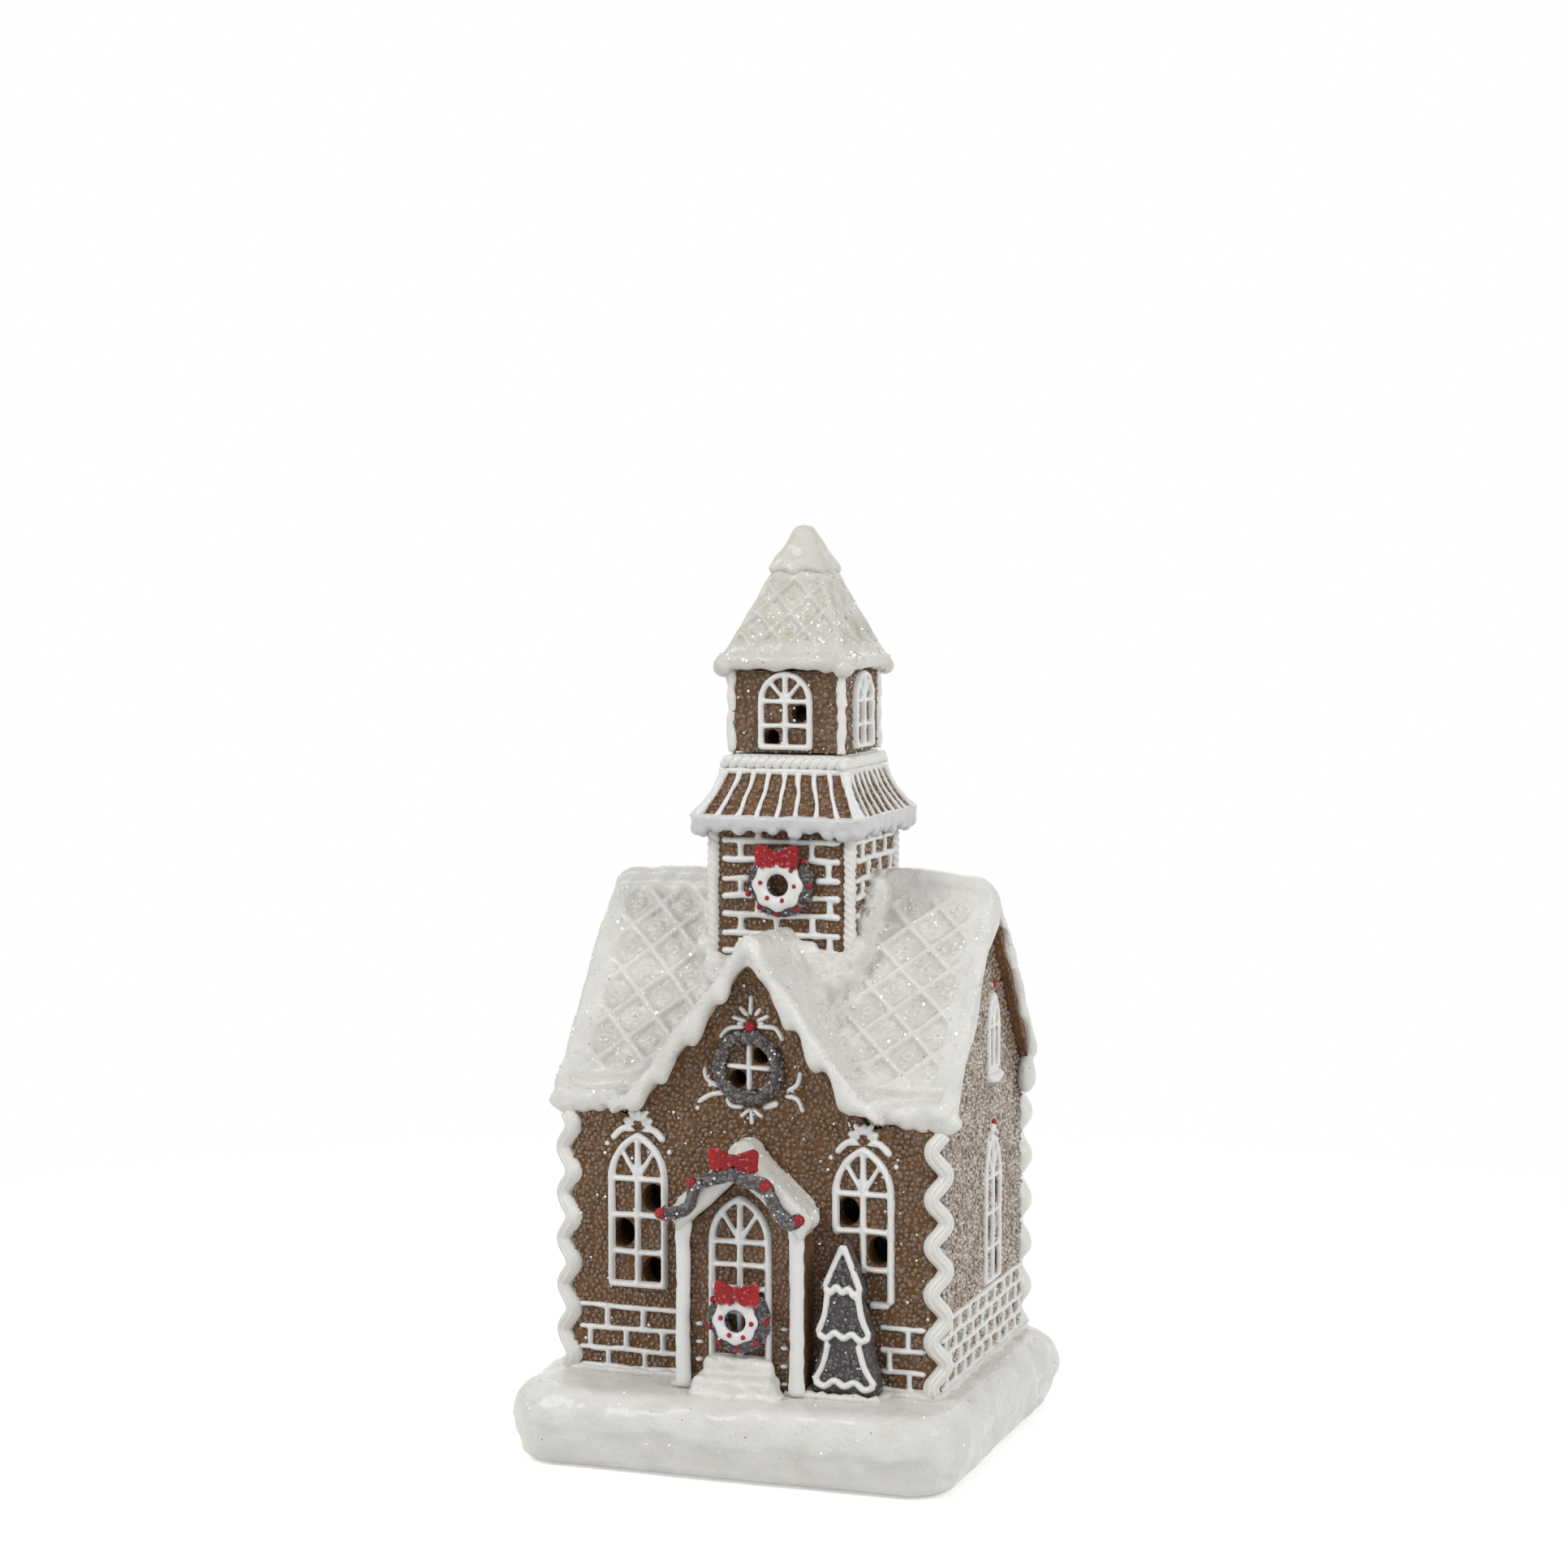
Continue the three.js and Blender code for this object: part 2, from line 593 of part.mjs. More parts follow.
const mainBack = mainSlope(1, backRoll, backDrip)
  .intersect(oneSideOf(1, 1, glueGap))
  .intersect(belowRidge(ridgeHeight))
  .subtract(towerCut)
  .subtract(wafflePits(1, { across: 0, down: 16.6 }, backRoll, (x, d) => besideTower(x, d, towerSetback + towerHalf)));
add(house, "roof_back", mainBack, snow);

// The cross gable's slopes fall to the left and right, and end level with the main eave's foot.
const gableReach = (gableRidgeHeight - gableFoot) / slope + gableThickness;
function gableSlope(side) {
  const edge = { drop: bargeDrop, swing: bargeWave, length: bargeWaveLength, phase: side > 0 ? 0 : bargeWaveLength / 2 };
  const plate = alongY(plateShape(gableRidgeHeight, gableThickness, gableReach), -frontDepth - glueGap, 0);
  const hanging = hangingShape(gableRidgeHeight, gableReach, edge, { width: 0, foot: gableFoot - bargeDrop });
  const slopeAndEdge = plate.add(alongY(hanging, -gableFace, -frontDepth - glueGap));
  return (side > 0 ? slopeAndEdge.mirror([1, 0, 0]) : slopeAndEdge)
    .intersect(oneSideOf(0, side, glueGap))
    .intersect(gableZone(valleyOffset + glueGap / 2))
    .intersect(belowRidge(gableRidgeHeight))
    .intersect(block([-far, -far, gableFoot], [far, far, ridgeHeight]))
    .subtract(towerCut);
}
add(house, "gable_roof_left", gableSlope(-1), snow);
add(house, "gable_roof_right", gableSlope(1), snow);

// Tower: a hollow brick shaft, a flared skirt roof, a belt of rope icing, the belfry and the spire

const tower = new THREE.Group();
tower.position.y = towerSetback;
house.add(tower);

function squareTube(width, wall, from, to) {
  const half = width / 2;
  const inner = half - wall;
  return block([-half, -half, from], [half, half, to]).subtract(
    block([-inner, -inner, from - 1], [inner, inner, to + 1]),
  );
}

// Four strips of snow that hang from a square eave, each with a wavy lower edge.
function hangingEave(width, depth, from, drop) {
  const half = width / 2;
  const edge = stations(-half, half, half / 6);
  const below = edge.map((x) => [x, from - drop * (0.5 + 0.5 * Math.cos((Math.PI * 3.5 * x) / half))]);
  const strip = alongY(shapeOf([...below, [half, from + depth], [-half, from + depth]]), -half, -half + depth);
  return [0, 1, 2, 3].map((turn) => facing(strip, turn)).reduce((all, one) => all.add(one));
}

function skirtRoof() {
  const wide = towerWidth + 2 * skirtReach;
  const narrow = belfryWidth + 2 * beltReach;
  const flare = [0, 0.25, 0.5, 0.75, 1].map((t) => {
    const width = wide + (narrow - wide) * (1 - (1 - t) ** 1.35);
    return squareRing(width, towerTop + glueGap + skirtLip + t * (skirtTop - towerTop - glueGap - skirtLip));
  });
  const hole = block(
    [-skirtHoleWidth / 2, -skirtHoleWidth / 2, 0],
    [skirtHoleWidth / 2, skirtHoleWidth / 2, spireTip],
  );
  const roof = loft([squareRing(wide - 1, towerTop + glueGap), squareRing(wide, towerTop + glueGap + 1), ...flare]);
  return roof.add(hangingEave(wide - 0.6, 1.8, towerTop + glueGap, skirtDrop)).subtract(hole);
}


function belfry() {
  let walls = squareTube(belfryWidth, belfryWall, belfryFoot, belfryTop);
  const panes = piercedRight(belfryWindow).slice(0, 2);
  for (const turn of [0, 1, 2, 3]) {
    const drills = panes.map(([x, z]) =>
      holeAlongY(belfryHoleRadius, x, z, -belfryHalf - 1, -belfryHalf + belfryWall + 1),
    );
    walls = drills.reduce((left, drill) => left.subtract(facing(drill, turn)), walls);
  }
  return walls;
}

function spireRoof() {
  const eave = belfryWidth + 2 * spireEaveReach;
  const roof = loft([
    squareRing(eave - 1, spireFoot),
    squareRing(eave, spireFoot + 1),
    squareRing(eave - 0.4, spireFoot + spireLip - 1),
    squareRing(eave - 2.4, spireFoot + spireLip),
    squareRing(spireNeckWidth, spireCapFoot - glueGap),
  ]);
  return roof.add(hangingEave(eave - 0.6, 1.6, spireFoot, spireDrop));
}

function spireCap() {
  const rise = spireTip - spireCapFoot;
  const profile = [[0, 0.93], [0.06, 1], [0.2, 0.97], [0.55, 0.58], [0.86, 0.24], [0.96, 0.17], [1, 0.08]];
  return loft(profile.map(([up, share]) => squareRing(spireCapWidth * share, spireCapFoot + rise * up)));
}

add(tower, "tower_shaft", squareTube(towerWidth, towerWall, towerFoot, towerTop), gingerbread);
add(tower, "skirt_roof", skirtRoof(), gingerbread);
const beltWall = beltReach + belfryWall;
add(tower, "rope_belt", squareTube(belfryWidth + 2 * beltReach, beltWall, beltFoot, beltFoot + beltHeight), icing);
add(tower, "belfry", belfry(), gingerbread);
add(tower, "spire_roof", spireRoof(), snow);
add(tower, "spire_cap", spireCap(), snow);

// Window icing: a pointed arch with a centre bar, crossbars and a fan of spokes

// The pointed arch over a half width: two arcs struck from the springing line.
function archShape(half, rise, sill, spring, inset = 0) {
  const centre = (half * half - rise * rise) / (2 * half);
  const radius = half - centre - inset;
  const apex = Math.acos(-centre / radius);
  const shape = new THREE.Shape();
  shape.moveTo(-half + inset, sill + inset);
  shape.lineTo(half - inset, sill + inset);
  shape.absarc(centre, spring, radius, 0, Math.min(apex, Math.PI), false);
  shape.absarc(-centre, spring, radius, Math.PI - Math.min(apex, Math.PI), Math.PI, false);
  shape.closePath();
  return shape;
}

function windowIcing({ half, sill, spring, rise, rows }, lowestPane = 0) {
  const outer = alongY(archShape(half, rise, sill, spring), -icingDepth, 0);
  const inner = alongY(archShape(half, rise, sill, spring, icingBar), -2 * icingDepth, icingDepth);
  const pitch = (spring - sill) / rows;
  const bars = [block([-icingBar / 2, -icingDepth, sill], [icingBar / 2, 0, spring + rise])];
  for (let row = 0; row < rows; row++) {
    const z = spring - row * pitch;
    bars.push(block([-half, -icingDepth, z - icingBar / 2], [half, 0, z + icingBar / 2]));
  }
  for (const lean of [-38, 38]) {
    const spoke = block([-icingBar * 0.4, -icingDepth, 0], [icingBar * 0.4, 0, rise + half]);
    bars.push(spoke.rotate([0, lean, 0]).translate([0, 0, spring]));
  }
  const all = bars.reduce((sum, bar) => sum.add(bar), outer.subtract(inner)).intersect(outer);
  return lowestPane ? all.intersect(block([-far, -far, lowestPane], [far, far, far])) : all;
}

const onFace = (icingPiece, across, distance, turn) =>
  facing(icingPiece.translate([across, -distance - glueGap, 0]), turn);

const frontGlass = windowIcing(frontWindow);
const sideGlass = windowIcing(sideWindow);
const upperGlass = windowIcing(upperWindow);
add(house, "window_front_left", onFace(frontGlass, -frontWindowOffset, frontDepth, 0), icing);
add(house, "window_front_right", onFace(frontGlass, frontWindowOffset, frontDepth, 0), icing);
add(house, "window_back", onFace(frontGlass, 0, backDepth, 2), icing);
add(house, "window_right_lower", onFace(sideGlass, sideWindowOffset, halfWidth, 1), icing);
add(house, "window_right_upper", onFace(upperGlass, sideWindowOffset, halfWidth, 1), icing);
add(house, "window_left_lower", onFace(sideGlass, -sideWindowOffset, halfWidth, 3), icing);
add(house, "window_left_upper", onFace(upperGlass, -sideWindowOffset, halfWidth, 3), icing);
["front", "right", "back", "left"].forEach((side, turn) => {
  add(tower, `belfry_window_${side}`, onFace(windowIcing(belfryWindow), 0, belfryHalf, turn), icing);
});

// Rickrack icing down the four corners of the house, on the diagonal

function rickrack(top) {
  const heights = stations(floorHeight, top, rickrackLength / 8);
  const centre = (z) => wave(z - floorHeight, rickrackLength, rickrackSwing);
  const edge = (z, side) => [centre(z) + (side * rickrackWidth) / 2, z];
  const left = heights.map((z) => edge(z, -1)).reverse();
  return alongY(shapeOf([...heights.map((z) => edge(z, 1)), ...left]), -rickrackDepth, 0);
}

const ribbonTop = { front: frontDrip.foot - eaveWave, back: backDrip.foot };
for (const [corner, { x, y, turn }] of Object.entries(corners)) {
  const ribbon = rickrack(ribbonTop[y < 0 ? "front" : "back"] - glueGap);
  const seated = ribbon.translate([0, cornerCut - glueGap, 0]).rotate([0, 0, turn]);
  add(house, `corner_icing_${corner}`, seated.translate([x, y, 0]), icing);
}

// Wreaths, the round window and bows

function ring(outer, hole, depth, sides = 18) {
  const middle = (outer + hole) / 2;
  const profile = [[hole, 0], [outer, 0], [outer, depth * 0.5], [middle, depth], [hole, depth * 0.5], [hole, 0]];
  const lathe = new THREE.LatheGeometry(profile.map(([r, z]) => new THREE.Vector2(r, z)), sides);
  return solidOf(lathe.rotateX(Math.PI));
}

// A tied bow: two loops and two tails, drawn 11 wide and 7.2 high and then sized.
function bow(width, height) {
  const shape = new THREE.Shape();
  shape.moveTo(-1.1, 1.1);
  shape.quadraticCurveTo(-4.4, 4.2, -5.5, 2.2);
  shape.lineTo(-5.2, -1.2);
  shape.quadraticCurveTo(-4.2, -2.4, -1.3, -0.9);
  shape.lineTo(-2.9, -3.4);
  shape.lineTo(-0.4, -1.9);
  shape.lineTo(0.4, -1.9);
  shape.lineTo(2.9, -3.4);
  shape.lineTo(1.3, -0.9);
  shape.quadraticCurveTo(4.2, -2.4, 5.2, -1.2);
  shape.lineTo(5.5, 2.2);
  shape.quadraticCurveTo(4.4, 4.2, 1.1, 1.1);
  shape.closePath();
  return alongY(shape, -bowThickness, 0).scale([width / 11, 1, height / 6.4]);
}

function rosette(group, name, height, back, sizes) {
  const { wreath, ringIcing } = sizes;
  const ringBack = back + wreathDepth + glueGap;
  const bowBack = ringBack + ringDepth + glueGap;
  add(group, `${name}_wreath`, ring(wreath, wreathHole, wreathDepth).translate([0, -back, height]), darkSugar);
  add(group, `${name}_wreath_icing`, ring(ringIcing, ringHole, ringDepth, 16).translate([0, -ringBack, height]), icing);
  add(group, `${name}_bow`, bow(bowWidth, bowHeight).translate([0, -bowBack, height + ringIcing + bowRise]), red);
}

rosette(tower, "tower", towerWreathHeight, towerHalf + glueGap, { wreath: towerWreathRadius, ringIcing: towerRingRadius });
const porch = new THREE.Group();
porch.position.x = porchOffset;
house.add(porch);
rosette(porch, "door", doorWreathHeight, porchFace + icingStep + glueGap, {
  wreath: doorWreathRadius,
  ringIcing: doorRingRadius,
});
add(house, "rose_wreath", ring(roseRadius, roseInnerRadius, roseDepth, 20).translate([0, -frontDepth - glueGap, roseHeight]), darkSugar);
const roseReach = roseInnerRadius - glueGap;
const roseBar = block([-icingBar / 2, -icingDepth, -roseReach], [icingBar / 2, 0, roseReach]);
const roseCross = roseBar.add(roseBar.rotate([0, 90, 0])).translate([0, -frontDepth - glueGap, roseHeight]);
add(house, "rose_cross", roseCross, icing);

// Porch: a peaked dough block with the door piped on it, two columns, a snow roof and a garland

const porchLine = (peak) => (x) => peak - porchSlope * Math.abs(x);
const porchUnder = porchLine(porchPeak + glueGap * Math.hypot(1, porchSlope));
const porchRoofVertical = porchRoofThickness * Math.hypot(1, porchSlope);
const porchOuter = (x) => porchUnder(x) + porchRoofVertical;
const porchEave = porchHalf + porchRoofReach;
const porchRoofFace = porchFace + porchRoofOverhang;
const eaveInward = porchRoofThickness * Math.sin(Math.atan(porchSlope));

const porchShape = shapeOf([
  [-porchHalf, floorHeight],
  [porchHalf, floorHeight],
  [porchHalf, porchLine(porchPeak)(porchHalf)],
  [0, porchPeak],
  [-porchHalf, porchLine(porchPeak)(porchHalf)],
]);
add(porch, "porch_block", alongY(porchShape, -porchFace, -frontDepth - glueGap), gingerbread);

const porchRoofShape = shapeOf([
  [-porchEave, porchOuter(porchEave)],
  [-porchEave + eaveInward, porchUnder(porchEave - eaveInward)],
  [0, porchUnder(0)],
  [porchEave - eaveInward, porchUnder(porchEave - eaveInward)],
  [porchEave, porchOuter(porchEave)],
  [2, porchOuter(2)],
  [0, porchOuter(0) - 1],
  [-2, porchOuter(2)],
]);
add(porch, "porch_roof", alongY(porchRoofShape, -porchRoofFace, -frontDepth - glueGap), snow);

const columnMiddle = porchHalf - columnWidth / 2 + 0.3;
const columnTop = porchUnder(porchEave - eaveInward) - glueGap;
for (const [side, x] of [["left", -columnMiddle], ["right", columnMiddle]]) {
  const profile = roundedRing(columnWidth, columnDepth, columnDepth * 0.4, 0, 3).map(([px, py]) => [px, py]);
  const column = alongZ(shapeOf(profile), floorHeight, columnTop);
  add(porch, `porch_column_${side}`, column.translate([x, -porchFace - glueGap - columnDepth / 2, 0]), icing);
}

const doorGlass = windowIcing(doorWindow);
add(porch, "door_icing", onFace(doorGlass, 0, porchFace, 0), icing);

// The garland swags across the roof's front edge, from one eave over the peak to the other.
function garland() {
  const y = -porchRoofFace - glueGap - garlandRadius;
  const reach = porchEave - garlandRadius;
  const middle = (x) => (porchUnder(x) + porchOuter(x)) / 2;
  const points = stations(-reach, reach, reach / 6).map((x) => {
    const sag = 1.3 * Math.cos((Math.PI * 4 * x) / reach);
    return new THREE.Vector3(x, y, middle(x) - 1 - sag);
  });
  const path = new THREE.CatmullRomCurve3(points);
  const section = new THREE.Shape().absarc(0, 0, garlandRadius, 0, 2 * Math.PI, false);
  return solidOf(
    new THREE.ExtrudeGeometry(section, { steps: 28, curveSegments: 4, bevelEnabled: false, extrudePath: path }),
  );
}
add(porch, "porch_garland", garland(), darkSugar);
const porchBowBack = porchRoofFace + glueGap;
add(porch, "porch_bow", bow(porchBowWidth, porchBowHeight).translate([0, -porchBowBack, porchOuter(0) - 1.3]), red);

// Two steps of packed snow, one loaf on the other, in front of the door.
function steps() {
  const back = -porchFace - glueGap;
  const loaf = (width, depth, from, to) => {
    const round = stepHeight * 0.3;
    const levels = [[0, 0], [from > floorHeight ? 0.5 : 0.6, 0], [0.85, 0.5], [1, 1]];
    const rings = levels.map(([up, inset]) =>
      roundedRing(width - 2 * round * inset, depth - round * inset, round, from + (to - from) * up, 3).map(
        ([x, y, z]) => [x, y + (round * inset) / 2, z],
      ),
    );
    return loft(rings).translate([0, back - depth / 2, 0]);
  };
  const lower = loaf(lowerStepWidth, 2 * stepTread, floorHeight, floorHeight + stepHeight);
  const upper = loaf(upperStepWidth, stepTread, floorHeight + stepHeight * 0.8, floorHeight + 2 * stepHeight);
  return lower.add(upper);
}
add(porch, "door_steps", steps(), snow);

// A fir-tree biscuit that stands before the right window: three tiers, each narrower than the one below.
function tree() {
  const tiers = [[0, 1, 0.58, 0.34], [0.34, 0.88, 0.43, 0.67], [0.67, 0.6, 0.02, 1]];
  const half = treeWidth / 2;
  const side = tiers.flatMap(([from, foot, tip, to]) => [
    [foot * half, floorHeight + treeHeight * from],
    [tip * half, floorHeight + treeHeight * to],
  ]);
  const back = -frontDepth - icingStep - glueGap;
  const outline = [...side, ...side.map(([x, z]) => [-x, z]).reverse()];
  return alongY(shapeOf(outline), back - treeThickness, back).translate([treeOffset, 0, 0]);
}
add(house, "tree", tree(), darkSugar);

// Battery unit in the base

function batteryTray() {
  const shell = block([trayLeft, trayFront, trayInset], [trayRight, trayBack, trayTop]);
  const cells = block([bayLeft, bayFront, 0], [bayRight, bayBack, trayRoof]);
  const doorSeat = block(
    [doorLeft - runningGap, bayFront - doorLedge - runningGap, 0],
    [doorRight + runningGap, bayBack + doorLedge + runningGap, doorTop + runningGap],
  );
  const switchBay = block([bayLeft, switchFront, trayInset + plasticWall], [bayRight, trayBack - plasticWall, far]);
  const slot = block(
    [-knobSize / 2 - runningGap, switchMiddle - knobSize / 2 - runningGap, 0],
    [knobSize / 2 + switchTravel + runningGap, switchMiddle + knobSize / 2 + runningGap, trayTop],
  );
  const screwHole = solidOf(
    new THREE.CylinderGeometry(screwRadius + 0.6, screwRadius + 0.6, screwLength + 2, 12)
      .rotateX(Math.PI / 2)
      .translate(doorRight - screwLand / 2, (bayFront + bayBack) / 2, trayInset + screwLength / 2),
  );
  let tray = shell.subtract(cells).subtract(doorSeat).subtract(switchBay).subtract(slot).subtract(screwHole);
  for (const y of tabPlaces) {
    const swing = Math.hypot(tabLength, doorThickness) + 2 * runningGap;
    const pocket = block(
      [doorLeft - tabLength - 2 * runningGap, y - tabWidth / 2 - runningGap, trayInset + doorThickness * 0.3],
      [doorLeft + 1, y + tabWidth / 2 + runningGap, trayInset + swing],
    );
    tray = tray.subtract(pocket);
  }
  return tray;
}

const tabPlaces = [bayFront + bayWidth * 0.25, bayFront + bayWidth * 0.75];

function batteryDoor() {
  let door = block(
    [doorLeft, bayFront - doorLedge, trayInset],
    [doorRight, bayBack + doorLedge, doorTop],
  );
  for (const y of tabPlaces) {
    const low = trayInset + doorThickness * 0.3 + runningGap;
    door = door.add(block([doorLeft - tabLength, y - tabWidth / 2, low], [doorLeft + 1, y + tabWidth / 2, doorTop]));
  }
  const screwHole = new THREE.CylinderGeometry(screwRadius + 0.3, screwRadius + 0.3, 2 * screwLength, 12)
    .rotateX(Math.PI / 2)
    .translate(doorRight - screwLand / 2, (bayFront + bayBack) / 2, trayInset);
  const seatDepth = screwHeadHeight + runningGap;
  const headSeat = new THREE.CylinderGeometry(screwHeadRadius + 0.3, screwHeadRadius + 0.3, 2 * seatDepth, 14)
    .rotateX(Math.PI / 2)
    .translate(doorRight - screwLand / 2, (bayFront + bayBack) / 2, trayInset);
  return door.subtract(solidOf(screwHole)).subtract(solidOf(headSeat));
}

function doorScrew() {
  const points = [
    [0, 0],
    [screwHeadRadius, 0],
    [screwHeadRadius, screwHeadHeight],
    [screwRadius, screwHeadHeight],
    [screwRadius, screwLength - 1],
    [0, screwLength],
  ].map(([r, z]) => new THREE.Vector2(r, z));
  const screw = solidOf(new THREE.LatheGeometry(points, 12).rotateX(Math.PI / 2));
  const arm = block([-screwHeadRadius * 0.7, -screwSlot / 2, -1], [screwHeadRadius * 0.7, screwSlot / 2, screwHeadHeight / 2]);
  const crossed = screw.subtract(arm).subtract(arm.rotate([0, 0, 90]));
  return crossed.translate([doorRight - screwLand / 2, (bayFront + bayBack) / 2, trayInset]);
}

const cellHeight = doorTop + runningGap + runningGap + cellRadius;
const cellFront = bayFront + runningGap + cellRadius;
const cellBack = bayBack - runningGap - cellRadius;

// A cell lies along X; its button points to +X when turned is 1 and to -X when it is -1.
function cell(turned, y) {
  const button = 1.2;
  const body = cellLength - button;
  const points = [
    [0, -body / 2 - button / 2],
    [cellRadius, -body / 2 - button / 2],
    [cellRadius, body / 2 - button / 2],
    [1.9, body / 2 - button / 2],
    [1.9, cellLength / 2],
    [0, cellLength / 2],
  ].map(([r, z]) => new THREE.Vector2(r, z));
  const lathe = new THREE.LatheGeometry(points, 16).rotateZ((-turned * Math.PI) / 2);
  return lathe.translate((bayLeft + bayRight) / 2, y, cellHeight);
}

const plateHalf = cellRadius - runningGap;

// The plate that carries a contact, flat against the bay's end wall, from one place across the bay to another.
function contactPlate(end, from, to) {
  const wall = end > 0 ? bayRight - runningGap : bayLeft + runningGap;
  const plateFace = wall - end * contactThickness;
  return block(
    [Math.min(wall, plateFace), from, cellHeight - plateHalf],
    [Math.max(wall, plateFace), to, cellHeight + plateHalf],
  );
}

// A cone of wire that presses on a cell's flat end.
function springContact(end, y) {
  const wall = end > 0 ? bayRight - runningGap : bayLeft + runningGap;
  const cellEnd = end > 0 ? bayRight - contactSpace : bayLeft + contactSpace;
  const plateFace = wall - end * contactThickness;
  const length = Math.abs(cellEnd - plateFace) - springLead - runningGap - springWire;
  const points = stations(0, springTurns, 1 / 8).map((turn) => {
    const angle = turn * 2 * Math.PI;
    const share = turn / springTurns;
    const radius = springWide + (springNarrow - springWide) * share;
    const along = plateFace - end * (springLead + share * length);
    return new THREE.Vector3(along, y + radius * Math.cos(angle), cellHeight + radius * Math.sin(angle));
  });
  points.unshift(new THREE.Vector3(plateFace + end * contactThickness * 0.5, points[0].y, points[0].z));
  const section = new THREE.Shape().absarc(0, 0, springWire, 0, 2 * Math.PI, false);
  const path = new THREE.CatmullRomCurve3(points);
  const coil = solidOf(
    new THREE.ExtrudeGeometry(section, {
      steps: 9 * springTurns,
      curveSegments: 3,
      bevelEnabled: false,
      extrudePath: path,
    }),
  );
  return coil;
}

// A leaf of the same sheet, folded over at the top and down again to meet a cell's button.
function leafContact(end, y) {
  const wall = end > 0 ? bayRight - runningGap : bayLeft + runningGap;
  const buttonFace = end > 0 ? bayRight - contactSpace + runningGap : bayLeft + contactSpace - runningGap;
  const tongueBack = buttonFace + end * contactThickness;
  const top = cellHeight + plateHalf;
  const fold = block(
    [Math.min(wall, buttonFace), y - leafHalf, top - contactThickness],
    [Math.max(wall, buttonFace), y + leafHalf, top],
  );
  const tongue = block(
    [Math.min(buttonFace, tongueBack), y - leafHalf, cellHeight - leafHalf],
    [Math.max(buttonFace, tongueBack), y + leafHalf, top],
  );
  return fold.add(tongue);
}

// At the right one plate joins both cells: the spring of one and the leaf of the other.
const springPlate = (end, y) => contactPlate(end, y - plateHalf, y + plateHalf).add(springContact(end, y));
const leafPlate = (end, y) => contactPlate(end, y - leafHalf, y + leafHalf).add(leafContact(end, y));
const bridgePlate = (end) =>
  contactPlate(end, cellFront - leafHalf, cellBack + plateHalf)
    .add(springContact(end, cellBack))
    .add(leafContact(end, cellFront));

// The slider's plate lies on the tray's floor, and its knob reaches down through the slot.
function switchSlider() {
  const floor = trayInset + plasticWall + runningGap;
  const knob = block(
    [-knobSize / 2, switchMiddle - knobSize / 2, trayInset - 0.4],
    [knobSize / 2, switchMiddle + knobSize / 2, floor + 0.5],
  );
  const plateReach = knobSize / 2 + switchTravel + 1;
  const plate = block(
    [-plateReach, switchFront + 0.8, floor],
    [plateReach, trayBack - plasticWall - 0.8, floor + 1.2],
  );
  return knob.add(plate);
}

add(root, "battery_tray", batteryTray(), plastic);
add(root, "battery_door", batteryDoor(), plastic);
add(root, "door_screw", doorScrew(), steel);
add(root, "battery_cell_front", cell(1, cellFront), cellJacket);
add(root, "battery_cell_back", cell(-1, cellBack), cellJacket);
add(root, "spring_contact_left", springPlate(-1, cellFront), steel);
add(root, "spring_contact_right", bridgePlate(1), steel);
add(root, "flat_contact_left", leafPlate(-1, cellBack), steel);
add(root, "switch_slider", switchSlider(), plastic);

// One wire climbs from the switch bay through the house into the belfry, with a lamp on its way and one at its end

const towerMiddle = houseSetback + towerSetback;
const wirePoints = [
  [0, switchMiddle, trayInset + plasticWall + wireClearance],
  [0, switchMiddle, trayTop - wireLead],
  [0, switchMiddle, trayTop],
  [0, switchMiddle, baseHeight + 1],
  [0, switchMiddle, baseHeight + wireLead],
  [0, (switchMiddle + towerMiddle) / 2, (baseHeight + houseLampHeight) / 2],
  [0, towerMiddle, houseLampHeight],
  [0, towerMiddle, (houseLampHeight + towerLampHeight) / 2],
  [0, towerMiddle, towerLampHeight],
].map((p) => new THREE.Vector3(...p));
const wireSection = new THREE.Shape().absarc(0, 0, wireRadius, 0, 2 * Math.PI, false);
const wire = new THREE.ExtrudeGeometry(wireSection, {
  steps: 24,
  curveSegments: 4,
  bevelEnabled: false,
  extrudePath: new THREE.CatmullRomCurve3(wirePoints),
});
add(root, "lamp_wire", solidOf(wire), wireJacket);

function lamp() {
  const flange = lampRadius + 0.4;
  const points = [[0, 0], [flange, 0], [flange, 1], [lampRadius, 1], [lampRadius, lampLength - lampRadius]];
  for (const angle of [30, 60]) {
    const a = THREE.MathUtils.degToRad(angle);
    points.push([lampRadius * Math.cos(a), lampLength - lampRadius + lampRadius * Math.sin(a)]);
  }
  points.push([0, lampLength]);
  return new THREE.LatheGeometry(points.map(([r, z]) => new THREE.Vector2(r, z)), 12);
}
add(root, "lamp_house", lamp().rotateX(Math.PI).translate(0, towerMiddle - wireRadius - glueGap, houseLampHeight), lampGlass);
add(root, "lamp_tower", lamp().rotateX(Math.PI / 2).translate(0, towerMiddle, towerLampHeight + glueGap), lampGlass);

export default root;
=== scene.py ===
# %% [markdown]
# # A gingerbread church in the snow
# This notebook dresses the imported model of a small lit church: slabs of brown dough set with clear sugar
# beads, thick snow on every roof, and piped icing on every edge. The frame gives each solid its true
# size and place, so all the looks are built around it.

# %% Load the frame
import math
import random

import bmesh
import bpy
from mathutils import Matrix, Vector, noise


